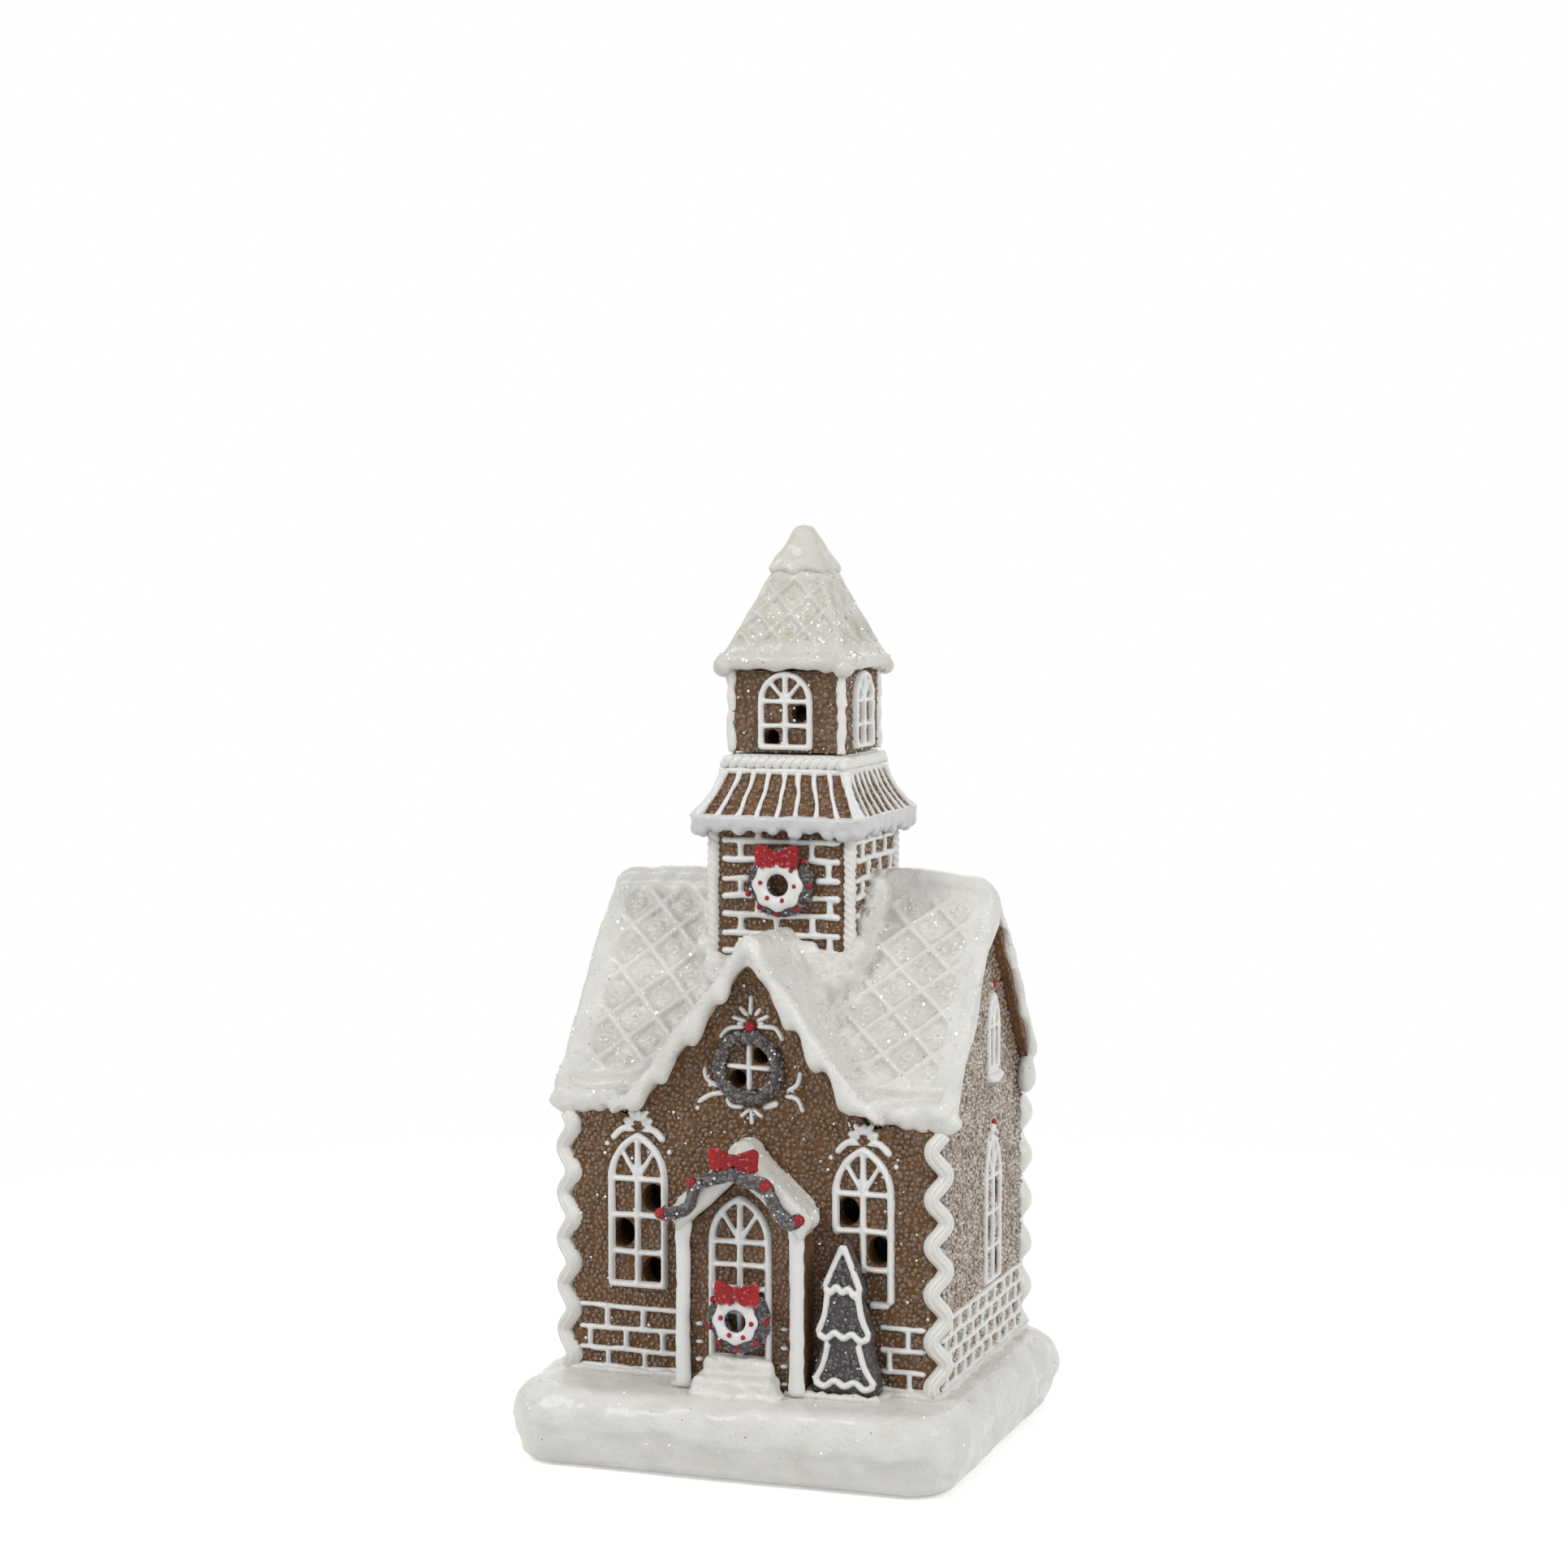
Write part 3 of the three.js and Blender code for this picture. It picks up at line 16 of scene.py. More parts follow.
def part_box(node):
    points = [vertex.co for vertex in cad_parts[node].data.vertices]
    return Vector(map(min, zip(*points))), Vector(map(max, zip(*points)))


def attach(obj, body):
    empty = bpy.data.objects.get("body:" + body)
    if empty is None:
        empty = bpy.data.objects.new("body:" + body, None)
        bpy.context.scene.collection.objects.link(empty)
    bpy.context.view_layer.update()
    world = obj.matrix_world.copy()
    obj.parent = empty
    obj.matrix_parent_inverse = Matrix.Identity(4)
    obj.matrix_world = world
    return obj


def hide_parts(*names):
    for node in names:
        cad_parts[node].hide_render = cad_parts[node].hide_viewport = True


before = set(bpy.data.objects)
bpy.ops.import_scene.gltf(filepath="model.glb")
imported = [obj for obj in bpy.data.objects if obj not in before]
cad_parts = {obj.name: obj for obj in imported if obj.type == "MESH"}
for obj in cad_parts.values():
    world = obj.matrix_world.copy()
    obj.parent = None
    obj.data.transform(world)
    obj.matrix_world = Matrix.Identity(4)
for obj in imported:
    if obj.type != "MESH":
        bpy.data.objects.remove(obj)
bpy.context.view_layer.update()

# %% [markdown]
# ## A drawing board in millimetres
# The house is drawn in millimetres, with its main ridge over y = 0 and the porch on the -y side. The snow
# base reaches further to the front than to the back, so the house stands a little behind the middle of
# the part. Every finished piece is shifted by that much and scaled to metres, and its object stays at the
# origin, unturned.

# %% Sizes read from the frame and the finishing helper
SETBACK = 7.4
FLOOR = 19.3
FRONT, BACK, SIDE = 38.6, 35.9, 45.7
PITCH = math.radians(52.6)
SLOPE = math.tan(PITCH)
RIDGE, GABLE_RIDGE = 136, 124.5
PORCH_X, PORCH_FACE = 0.5, 45.5
TOWER_Y, TOWER, BELFRY = 1.2, 17.5, 14.2
VALLEY = 8.8
BARGE = 50.05
SKIRT_FOOT, SKIRT_RISE = 149.6, 11.4
FOOT_HALF = (0.046, 0.0435)
chance = random.Random(12)


def piece(name, bm, material, replaces=(), smooth=True):
    """Turns a drawing in millimetres into a finished piece of the church."""
    bmesh.ops.recalc_face_normals(bm, faces=bm.faces)
    bmesh.ops.translate(bm, verts=bm.verts, vec=(0, SETBACK, 0))
    bmesh.ops.scale(bm, verts=bm.verts, vec=(0.001, 0.001, 0.001))
    mesh = bpy.data.meshes.new(name)
    bm.to_mesh(mesh)
    bm.free()
    if smooth:
        mesh.shade_smooth()
    made = bpy.data.objects.new(name, mesh)
    bpy.context.scene.collection.objects.link(made)
    mesh.materials.append(material)
    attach(made, "church")
    if replaces:
        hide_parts(*replaces)
    print(f"{name}: {len(mesh.polygons)} faces")
    return made


# %% [markdown]
# ## Node groups for grain, beads, specks and frost
# Four effects come back in several finishes. Grain is a fine unevenness with broad patches, as dried
# icing and baked dough have. Beads are the small clear balls of sugar pressed into the dough. Specks are
# the few dark crumbs that end up in any white icing. Frost is the streaky white veil on the end walls. It
# fades close under the roofs, where the brown dough left bare is partly real and partly painted shade of
# the eaves. Each is built once as a node group, and each material sets its own values. They read Object
# coordinates in millimetres, so nothing slides.

# %% Helpers for node trees
def add(tree, kind, inputs=None, **settings):
    """Adds a node with its settings, and fills or links its inputs."""
    made = tree.nodes.new("ShaderNode" + kind)
    for name, value in settings.items():
        setattr(made, name, value)
    for name, value in (inputs or {}).items():
        socket = made.inputs[name]
        if isinstance(value, bpy.types.NodeSocket):
            tree.links.new(value, socket)
        else:
            socket.default_value = value
    return made


def new_group(name, inputs, outputs):
    """An empty node group with named inputs and outputs."""
    tree = bpy.data.node_groups.new(name, "ShaderNodeTree")
    for label, kind, value in inputs:
        socket = tree.interface.new_socket(label, in_out="INPUT", socket_type="NodeSocket" + kind)
        if value is not None:
            socket.default_value = value
    for label, kind in outputs:
        tree.interface.new_socket(label, in_out="OUTPUT", socket_type="NodeSocket" + kind)
    return tree, tree.nodes.new("NodeGroupInput").outputs, tree.nodes.new("NodeGroupOutput").inputs


def spread(tree, value, low, high, to_low=0.0, to_high=1.0):
    """A soft step of a value from one range to another."""
    made = add(
        tree, "MapRange",
        {"Value": value, "From Min": low, "From Max": high, "To Min": to_low, "To Max": to_high},
        interpolation_type="SMOOTHSTEP"
    )
    return made.outputs["Result"]


def sums(tree, operation, first, second=0.5):
    """One sum on two values or sockets."""
    made = add(tree, "Math", operation=operation)
    for socket, value in zip(made.inputs, (first, second)):
        if isinstance(value, bpy.types.NodeSocket):
            tree.links.new(value, socket)
        else:
            socket.default_value = value
    return made.outputs[0]


def blend(tree, share, first, second, kind="MIX"):
    """Mixes two colours by a share."""
    made = add(tree, "Mix", data_type="RGBA", blend_type=kind)
    for socket, value in ((made.inputs[0], share), (made.inputs[6], first), (made.inputs[7], second)):
        if isinstance(value, bpy.types.NodeSocket):
            tree.links.new(value, socket)
        else:
            socket.default_value = value
    return made.outputs[2]


def colour(code):
    """A colour as it looks on the object, from its hex code to linear light."""
    parts = [int(code[i : i + 2], 16) / 255 for i in (0, 2, 4)]
    return tuple(c / 12.92 if c <= 0.04045 else ((c + 0.055) / 1.055) ** 2.4 for c in parts) + (1.0,)


print("snow white is", [round(c, 3) for c in colour("E6E4DD")])

# %% The four groups
grain, given, wanted = new_group(
    "grain", [("Vector", "Vector", None), ("Size", "Float", 1.0)], [("Height", "Float"), ("Patch", "Float")]
)
finer = sums(grain, "DIVIDE", 1.0, given["Size"])
fine = add(grain, "TexNoise", {"Vector": given["Vector"], "Scale": finer, "Detail": 5.0, "Roughness": 0.6})
broad = add(
    grain, "TexNoise",
    {"Vector": given["Vector"], "Scale": sums(grain, "MULTIPLY", finer, 0.09), "Detail": 3.0}
)
grain.links.new(fine.outputs["Fac"], wanted["Height"])
grain.links.new(spread(grain, broad.outputs["Fac"], 0.38, 0.62), wanted["Patch"])

beads, given, wanted = new_group(
    "beads", [("Vector", "Vector", None), ("Spacing", "Float", 1.3)],
    [("Height", "Float"), ("Bead", "Float"), ("Tone", "Float")]
)
cells = add(
    beads, "TexVoronoi",
    {"Vector": given["Vector"], "Scale": sums(beads, "DIVIDE", 1.0, given["Spacing"]), "Randomness": 0.8}
)
beads.links.new(spread(beads, cells.outputs["Distance"], 0.55, 0.05), wanted["Height"])
beads.links.new(spread(beads, cells.outputs["Distance"], 0.56, 0.44), wanted["Bead"])
tone = add(beads, "SeparateColor", {"Color": cells.outputs["Color"]})
beads.links.new(tone.outputs["Red"], wanted["Tone"])

specks, given, wanted = new_group(
    "specks", [("Vector", "Vector", None), ("Spacing", "Float", 5.0), ("Size", "Float", 0.06)],
    [("Speck", "Float")]
)
dots = add(
    specks, "TexVoronoi", {"Vector": given["Vector"], "Scale": sums(specks, "DIVIDE", 1.0, given["Spacing"])}
)
specks.links.new(sums(specks, "LESS_THAN", dots.outputs["Distance"], given["Size"]), wanted["Speck"])

frost, given, wanted = new_group("frost", [("Vector", "Vector", None)], [("Veil", "Float")])
streaky = add(frost, "Mapping", {"Vector": given["Vector"], "Scale": (1.1, 1.1, 0.36)})
dust = add(frost, "TexNoise", {"Vector": streaky.outputs[0], "Scale": 0.8, "Detail": 6.0, "Roughness": 0.8})
along = add(frost, "SeparateXYZ", {0: given["Vector"]}).outputs
from_ridge = sums(frost, "ABSOLUTE", sums(frost, "SUBTRACT", along["Y"], SETBACK))
# Distance below the roof line; close under it the veil fades, partly as painted shade of the eaves.
under_roof = sums(
    frost, "SUBTRACT", sums(frost, "SUBTRACT", RIDGE, sums(frost, "MULTIPLY", from_ridge, SLOPE)), along["Z"]
)
under_roof = sums(frost, "ADD", under_roof, spread(frost, along["Y"], 10.0, 2.0, 0.0, 7.0))
frost_out_of_eave_shade = sums(
    frost, "MAXIMUM", spread(frost, under_roof, 10.0, 27.0), spread(frost, along["Z"], 140.0, 150.0, 0.0, 0.6)
)
frost.links.new(
    sums(frost, "MULTIPLY", spread(frost, dust.outputs["Fac"], 0.44, 0.56, 0.05, 1.0), frost_out_of_eave_shade), wanted["Veil"]
)
print("groups", [g.name for g in bpy.data.node_groups])

# %% [markdown]
# ## The finishes
# Snow on such a church is painted clay: warm white and half glossy. Painted shade makes it greyer and
# yellower in its hollows, lattice cells and valleys, and the same tint lies in random patches; a number on
# each point of a snow piece says how much of both it gets. The spire and its cap have a darker copy of the
# snow, and the skirt's lip a darker copy of the icing, as painted shade. The dough is brown and grainy
# under its beads, and frosted white on the ends of the house; the belfry's dough is darker as painted
# shade. Icing is a cooler white with fine brush lines, and the wreaths are dark sugar under clear beads.

# %% Material helpers
def new_material(name, roughness, **plain):
    """A material with its main shader and with object coordinates in millimetres."""
    made = bpy.data.materials.new(name)
    made.use_nodes = True
    tree = made.node_tree
    tree.nodes.clear()
    shader = add(tree, "BsdfPrincipled", {"Roughness": roughness})
    for label, value in plain.items():
        shader.inputs[label.replace("_", " ")].default_value = value
    add(tree, "OutputMaterial", {"Surface": shader.outputs[0]})
    where = add(tree, "TexCoord")
    place = add(tree, "Mapping", {"Vector": where.outputs["Object"], "Scale": (1000, 1000, 1000)})
    return made, tree, shader, place.outputs[0]


def use(tree, group, **inputs):
    """Puts a node group into a tree, and fills or links its inputs."""
    made = tree.nodes.new("ShaderNodeGroup")
    made.node_tree = group
    for label, value in inputs.items():
        if isinstance(value, bpy.types.NodeSocket):
            tree.links.new(value, made.inputs[label])
        else:
            made.inputs[label].default_value = value
    return made.outputs


def emboss(tree, shader, height, distance, strength=1.0):
    """Raises the surface by a height from 0 to 1, distance in millimetres."""
    bump = add(tree, "Bump", {"Height": height, "Distance": distance / 1000, "Strength": strength})
    tree.links.new(bump.outputs[0], shader.inputs["Normal"])


def feed(tree, shader, **values):
    """Links values to the shader's inputs by name."""
    for label, value in values.items():
        tree.links.new(value, shader.inputs[label.replace("_", " ")])


# %% Snow
def snow_finish(name, light, shade, roughness=0.42):
    made, tree, shader, place = new_material(name, roughness, Coat_Weight=0.3, Coat_Roughness=0.14)
    rough = use(tree, grain, Vector=place, Size=0.7)
    # The second colour is painted shade: the number that press stores on each point lays it into hollows,
    # lattice cells and valleys, and into random greyer patches.
    painted_shade_and_patches = add(tree, "Attribute", attribute_name="painted_shade_and_patches")
    depth = sums(tree, "MULTIPLY", painted_shade_and_patches.outputs["Fac"], spread(tree, rough["Patch"], -0.6, 1.0))
    white = blend(tree, rough["Patch"], colour(light), tuple(c * 0.94 for c in colour(light)[:3]) + (1,))
    snow_with_painted_shade = blend(tree, depth, white, colour(shade))
    dark = use(tree, specks, Vector=place, Spacing=4.2, Size=0.045)
    feed(tree, shader, Base_Color=blend(tree, dark["Speck"], snow_with_painted_shade, colour("5A5248")))
    feed(tree, shader, Roughness=spread(tree, rough["Patch"], 0.0, 1.0, roughness - 0.12, roughness + 0.1))
    dents = use(tree, grain, Vector=place, Size=2.4)
    height = sums(tree, "ADD", rough["Height"], sums(tree, "MULTIPLY", dents["Height"], 2.2))
    emboss(tree, shader, height, 0.3, 0.9)
    return made


# Each snow's second colour is its painted shade.
snow = snow_finish("snow", "E6E4DE", "C6C4B9")
# The spire and its cap get a darker, creamier copy of the snow: darker as painted shade, because their steep
# faces catch more of the lamps.
cream_snow_with_painted_shade = snow_finish("cream_snow_with_painted_shade", "D8D6CD", "BDB69F", 0.38)
print("snow finishes made")


# %% Dough
def dough_finish(name, brown, deep, frosting):
    made, tree, shader, place = new_material(name, 0.62)
    rough = use(tree, grain, Vector=place, Size=0.45)
    sugar = use(tree, beads, Vector=place, Spacing=1.1)
    body = blend(tree, rough["Patch"], colour(deep), colour(brown))
    body = blend(
        tree, spread(tree, rough["Height"], 0.35, 0.65), body,
        tuple(c * 0.62 for c in colour(brown)[:3]) + (1,)
    )
    glassy = sums(tree, "MULTIPLY", sugar["Bead"], spread(tree, sugar["Tone"], 0.25, 0.9, 0.0, 0.3))
    body = blend(tree, glassy, body, colour("A0968A"))
    if frosting:
        veil = sums(tree, "MULTIPLY", use(tree, frost, Vector=place)["Veil"], frosting)
        body = blend(tree, veil, body, colour("D2C9BD"))
    feed(tree, shader, Base_Color=body)
    feed(tree, shader, Roughness=spread(tree, sugar["Bead"], 0.0, 1.0, 0.75, 0.35))
    height = sums(tree, "ADD", sums(tree, "MULTIPLY", sugar["Height"], 0.5), rough["Height"])
    emboss(tree, shader, height, 0.3, 0.8)
    return made


dough = dough_finish("dough", "7C5329", "603F1D", 0.0)
# The belfry's dough is a darker copy as painted shade, as it stands high in more light, with a little frost
# on it.
dusted_dough_with_painted_shade = dough_finish("dusted_dough_with_painted_shade", "70491F", "553817", 0.12)
frosted_dough = dough_finish("frosted_dough", "7E5B38", "66482B", 0.85)
print("dough finishes made")


# %% Icing, dark sugar and red icing
def icing_finish(name, light, shade):
    made, tree, shader, place = new_material(name, 0.38, Coat_Weight=0.12, Coat_Roughness=0.2)
    streaks = add(tree, "Mapping", {"Vector": place, "Scale": (2.2, 2.2, 0.5)})
    brush = use(tree, grain, Vector=streaks.outputs[0], Size=1.0)
    thin = spread(tree, brush["Height"], 0.55, 0.75, 0.0, 0.45)
    feed(tree, shader, Base_Color=blend(tree, thin, colour(light), colour(shade)))
    emboss(tree, shader, brush["Height"], 0.12, 0.6)
    return made


def sugar_finish(name, dark, glass, share, roughness=0.5, coat=0.25, shine=0.5):
    made, tree, shader, place = new_material(
        name, roughness, Coat_Weight=coat, Coat_Roughness=0.12, Specular_IOR_Level=shine
    )
    sugar = use(tree, beads, Vector=place, Spacing=0.95)
    rough = use(tree, grain, Vector=place, Size=0.5)
    body = blend(tree, rough["Patch"], colour(dark), tuple(c * 0.7 for c in colour(dark)[:3]) + (1,))
    shown = sums(tree, "MULTIPLY", sugar["Bead"], spread(tree, sugar["Tone"], 0.1, 0.9, 0.1 * share, share))
    feed(tree, shader, Base_Color=blend(tree, shown, body, colour(glass)))
    feed(tree, shader, Roughness=spread(tree, sugar["Bead"], 0.0, 1.0, roughness + 0.2, roughness - 0.2))
    emboss(tree, shader, sugar["Height"], 0.35, 0.9)
    return made


icing = icing_finish("icing", "E8E8E6", "C5C6C5")
warm_icing = icing_finish("warm_icing", "E6E5E0", "C9C7C0")
# The lip's icing is a darker, bluer copy of the icing: its darkness is painted shade.
cool_icing_with_painted_shade = icing_finish("cool_icing_with_painted_shade", "CECFCF", "B0B4B8")
dark_sugar = sugar_finish("dark_sugar", "433D3C", "7C7879", 0.45)
red_icing = sugar_finish("red_icing", "AE0F1A", "C4323E", 0.1, 0.25, 0.35, 0.15)
berry_red = sugar_finish("berry_red", "AE1424", "C4404C", 0.14, 0.25, 0.3, 0.2)
print("icing and sugar finishes made")


# %% Clear beads and glitter
def bead_finish(name, low, high, rim, frosting=False):
    """A clear bead shows what lies behind it in its middle, and a painted reflection makes it pale at its
    rim.
    """
    made, tree, shader, place = new_material(name, 0.25, Coat_Weight=0.3, Coat_Roughness=0.1)
    tones = add(tree, "TexNoise", {"Vector": place, "Scale": 0.7, "Detail": 1.0})
    share = use(tree, frost, Vector=place)["Veil"] if frosting else spread(
        tree, tones.outputs["Fac"], 0.36, 0.64
    )
    body = blend(tree, share, colour(low), colour(high))
    # Painted reflection: Layer Weight's facing lays the pale rim colour on.
    edge = add(tree, "LayerWeight", {"Blend": 0.38})
    feed(tree, shader, Base_Color=blend(tree, edge.outputs["Facing"], body, colour(rim)))
    return made


clear_beads = bead_finish("clear_beads", "5A3D1E", "80603D", "BEB1A4")
frosty_beads = bead_finish("frosty_beads", "66472A", "DFD8CE", "C4B8AA", True)
grey_beads = bead_finish("grey_beads", "4A4547", "6E696A", "A09C9C")
pink_beads = bead_finish("pink_beads", "A81722", "BC2F3B", "D98A92")
glitter, tree, shader, place = new_material("glitter", 0.1, IOR=2.2, Coat_Weight=1.0, Coat_Roughness=0.03)
sheen = add(tree, "TexVoronoi", {"Vector": place, "Scale": 0.45})
tone = add(tree, "SeparateColor", {"Color": sheen.outputs["Color"]}).outputs["Red"]
feed(tree, shader, Base_Color=blend(tree, spread(tree, tone, 0.35, 0.9), colour("DADCDF"), colour("FFFFFF")))

# A near black film for the back openings: painted shade for the dark inside of the house.
shade_film, tree, shader, place = new_material("painted_shade_film", 0.3, Coat_Weight=0.3, Coat_Roughness=0.15)
cloudy = use(tree, grain, Vector=place, Size=1.2)
feed(tree, shader, Base_Color=blend(tree, cloudy["Patch"], colour("2A170A"), colour("3C2210")))
emboss(tree, shader, cloudy["Height"], 0.1, 0.5)
print("bead finishes made")


# %% The battery unit's finishes
def plain_finish(name, light, shade, size, height, roughness, **plain):
    """A plain finish in two close tones with a fine unevenness."""
    made, tree, shader, place = new_material(name, roughness, **plain)
    rough = use(tree, grain, Vector=place, Size=size)
    feed(tree, shader, Base_Color=blend(tree, rough["Patch"], colour(light), colour(shade)))
    feed(tree, shader, Roughness=spread(tree, rough["Patch"], 0.0, 1.0, roughness - 0.06, roughness + 0.08))
    emboss(tree, shader, rough["Height"], height, 0.5)
    return made


moulded = plain_finish("moulded_plastic", "DCDCD8", "D2D1CC", 0.25, 0.05, 0.48)
moulded_door = plain_finish("moulded_door", "D8D8D3", "CFCEC8", 0.3, 0.06, 0.42)
moulded_knob = plain_finish("moulded_knob", "3A3A3C", "2E2E30", 0.25, 0.06, 0.45)
steel = plain_finish("bright_steel", "C4C6C8", "A9ABAE", 0.2, 0.02, 0.28, Metallic=1.0)
jacket = plain_finish("cell_jacket", "35608F", "2C527C", 1.5, 0.02, 0.3, Metallic=0.2)
lamp_glass = plain_finish("lamp_glass", "C99A55", "B98642", 1.0, 0.03, 0.2, Coat_Weight=0.4)
wire_sleeve = plain_finish("wire_sleeve", "2F6B34", "265A2B", 0.6, 0.03, 0.45)
kept = {
    dough: ("front_wall", "tower_shaft", "porch_block"),
    dusted_dough_with_painted_shade: ("belfry",),
    frosted_dough: ("right_wall", "left_wall", "back_wall"),
    moulded: ("battery_tray",),
    moulded_door: ("battery_door",),
    moulded_knob: ("switch_slider",),
    steel: ("door_screw", "spring_contact_left", "spring_contact_right", "flat_contact_left"),
    jacket: ("battery_cell_front", "battery_cell_back"),
    lamp_glass: ("lamp_house", "lamp_tower"),
    wire_sleeve: ("lamp_wire",),
}
for finish, names in kept.items():
    for name in names:
        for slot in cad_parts[name].material_slots:
            slot.material = finish
print("dressed", sum(len(names) for names in kept.values()), "solids of the frame")

# %% [markdown]
# ## Skins, tubes and piping
# A net is a grid from create_grid whose rows and columns are laid where a rule says, with the doubles
# merged where it meets itself. It gives pillows, tubes and rolls alike. A piped line of icing is such a
# tube along a drawn line on a wall, round above, flat below, and closed to a point at both ends, because
# that is how icing leaves a nozzle.

# %% Nets and sweeps
def wobble(*place):
    """Smooth noise at a place in space."""
    return noise.noise(Vector(place))


def net(bm, across, along, place):
    """A grid whose points are set by a function of their two counts, joined where points meet."""
    laid = Matrix.Translation((across / 2, along / 2, 0)) @ Matrix.Diagonal((across / 2, along / 2, 1, 1))
    made = bmesh.ops.create_grid(bm, x_segments=across, y_segments=along, size=1, matrix=laid)["verts"]
    for vert in made:
        vert.co = place(round(vert.co.x), round(vert.co.y))
    bmesh.ops.remove_doubles(bm, verts=made, dist=1e-4)


def sweep(bm, rings, sides=12, closed=False):
    """A skin through rings, each with a centre and two half axes. A ring of no size closes an end."""
    def place(i, j):
        centre, across, up = rings[j % len(rings)]
        turn = 2 * math.pi * i / sides
        return centre + across * math.cos(turn) + up * math.sin(turn)
    net(bm, sides, len(rings) - (0 if closed else 1), place)


def closed_ends(rings):
    """Adds a ring of no size at each end, so that a sweep closes."""
    none = Vector((0, 0, 0))
    return [(rings[0][0], none, none)] + rings + [(rings[-1][0], none, none)]


def rod(bm, path, radius, sides=12, flat=1.0, closed=False, rough=0.0):
    """A round bar along a path. The radius may change along it."""
    rings = []
    side = None
    for i, point in enumerate(path):
        if closed:
            way = path[(i + 1) % len(path)] - path[i - 1]
        else:
            way = path[min(i + 1, len(path) - 1)] - path[max(i - 1, 0)]
        way.normalize()
        if side is None or closed:
            side = way.cross(Vector((0, 0, 1)) if abs(way.z) < 0.9 else Vector((0, 1, 0))).normalized()
        side = (side - way * side.dot(way)).normalized()
        size = (radius(i / (len(path) - 1)) if callable(radius) else radius) * (
            1 + rough * noise.noise(point * 0.45)
        )
        rings.append((point, side * size, side.cross(way) * size * flat))
    sweep(bm, rings if closed else closed_ends(rings), sides, closed)


def flow(points, step, closed=False):
    """A smooth line through points, with a point about every step."""
    points = [Vector(p) for p in points]
    count, line = len(points), []
    for i in range(count if closed else count - 1):
        a, b = points[i], points[(i + 1) % count]
        before = points[i - 1] if closed or i else a
        after = points[(i + 2) % count] if closed or i + 2 < count else b
        parts = max(1, round((b - a).length / step))
        for k in range(parts):
            t = k / parts
            line.append(0.5 * (
                2 * a + (b - before) * t + (2 * before - 5 * a + 4 * b - after) * t**2
                + (3 * a - before - 3 * b + after) * t**3
            ))
    return line if closed else line + [points[-1]]


def straight(points, step):
    """A line that keeps its corners, with a point about every step."""
    line = []
    for a, b in zip(points, points[1:]):
        line += flow([a, b], step)[:-1]
    return line + [Vector(points[-1])]


# %% Walls to draw on, and the piping bag
def wall(distance, turn=0, across=0.0, middle=0.0):
    """A face of the house, as a place for u to the right, z up and out of the wall.

    Turns: 1 right, 2 back, 3 left.
    """
    spin = Matrix.Rotation(math.radians(90 * turn), 3, "Z")
    return lambda u, z, out=0.0: spin @ Vector((across + u, -distance - out, z)) + Vector((0, middle, 0))


def pipe(
    bm, face, line, width, depth, closed=False, taper=(0.5, 0.5), sides=8, groove=0.0, uneven=0.12, sunk=0.3
):
    """A line of icing on a face. The tapers are how many widths each end takes to reach its full size."""
    count = len(line)
    lengths = [0.0]
    for a, b in zip(line, line[1:]):
        lengths.append(lengths[-1] + (b - a).length)

    def place(i, j):
        j = j % count
        point = line[j]
        if closed:
            way = line[(j + 1) % count] - line[j - 1]
            size = 1.0
        else:
            way = line[min(j + 1, count - 1)] - line[max(j - 1, 0)]
            ends = (lengths[j] / (taper[0] * width), (lengths[-1] - lengths[j]) / (taper[1] * width))
            size = math.sin(math.pi / 2 * min(1.0, *ends)) ** 0.7
        size *= 1 + uneven * wobble(point.x * 0.5, point.y * 0.5, width)
        side = Vector((-way.y, way.x)).normalized()
        turn = 2 * math.pi * i / sides
        ripple = groove * math.cos(3.3 * math.pi * math.cos(turn)) * max(0, math.sin(turn))
        out = math.sin(turn) * depth * size + ripple
        spot = point + side * (math.cos(turn) * width / 2 * size)
        return face(spot.x, spot.y, max(out, -sunk))

    net(bm, sides, count if closed else count - 1, place)


def ball(bm, centre, radius, flat=(1, 1, 1), sides=10):
    """A ball, stretched by three shares."""
    stretch = Matrix.Translation(centre) @ Matrix.Diagonal((*flat, 1))
    bmesh.ops.create_uvsphere(bm, u_segments=sides, v_segments=sides * 2 // 3, radius=radius, matrix=stretch)


def slab(bm, outline, start, end):
    """A flat outline drawn on the plane through start, pushed out to end."""
    face = bm.faces.new([bm.verts.new(start + Vector(point)) for point in outline])
    pushed = bmesh.ops.extrude_face_region(bm, geom=[face])["geom"]
    bmesh.ops.translate(bm, verts=[v for v in pushed if isinstance(v, bmesh.types.BMVert)], vec=end - start)


print("tools ready")


# %% [markdown]
# ## Melting shapes into snow
# Real snow roofs on such a church are modelled by hand in soft clay: a plate, a roll at the edge, drips
# pushed on with a finger, all smoothed into one. Here overlapping plates, tubes and balls stand for those
# lumps, a voxel Remesh joins them into one skin, and smoothing takes away its steps. After that each
# point is pressed in or out along its normal for lattice and dents.

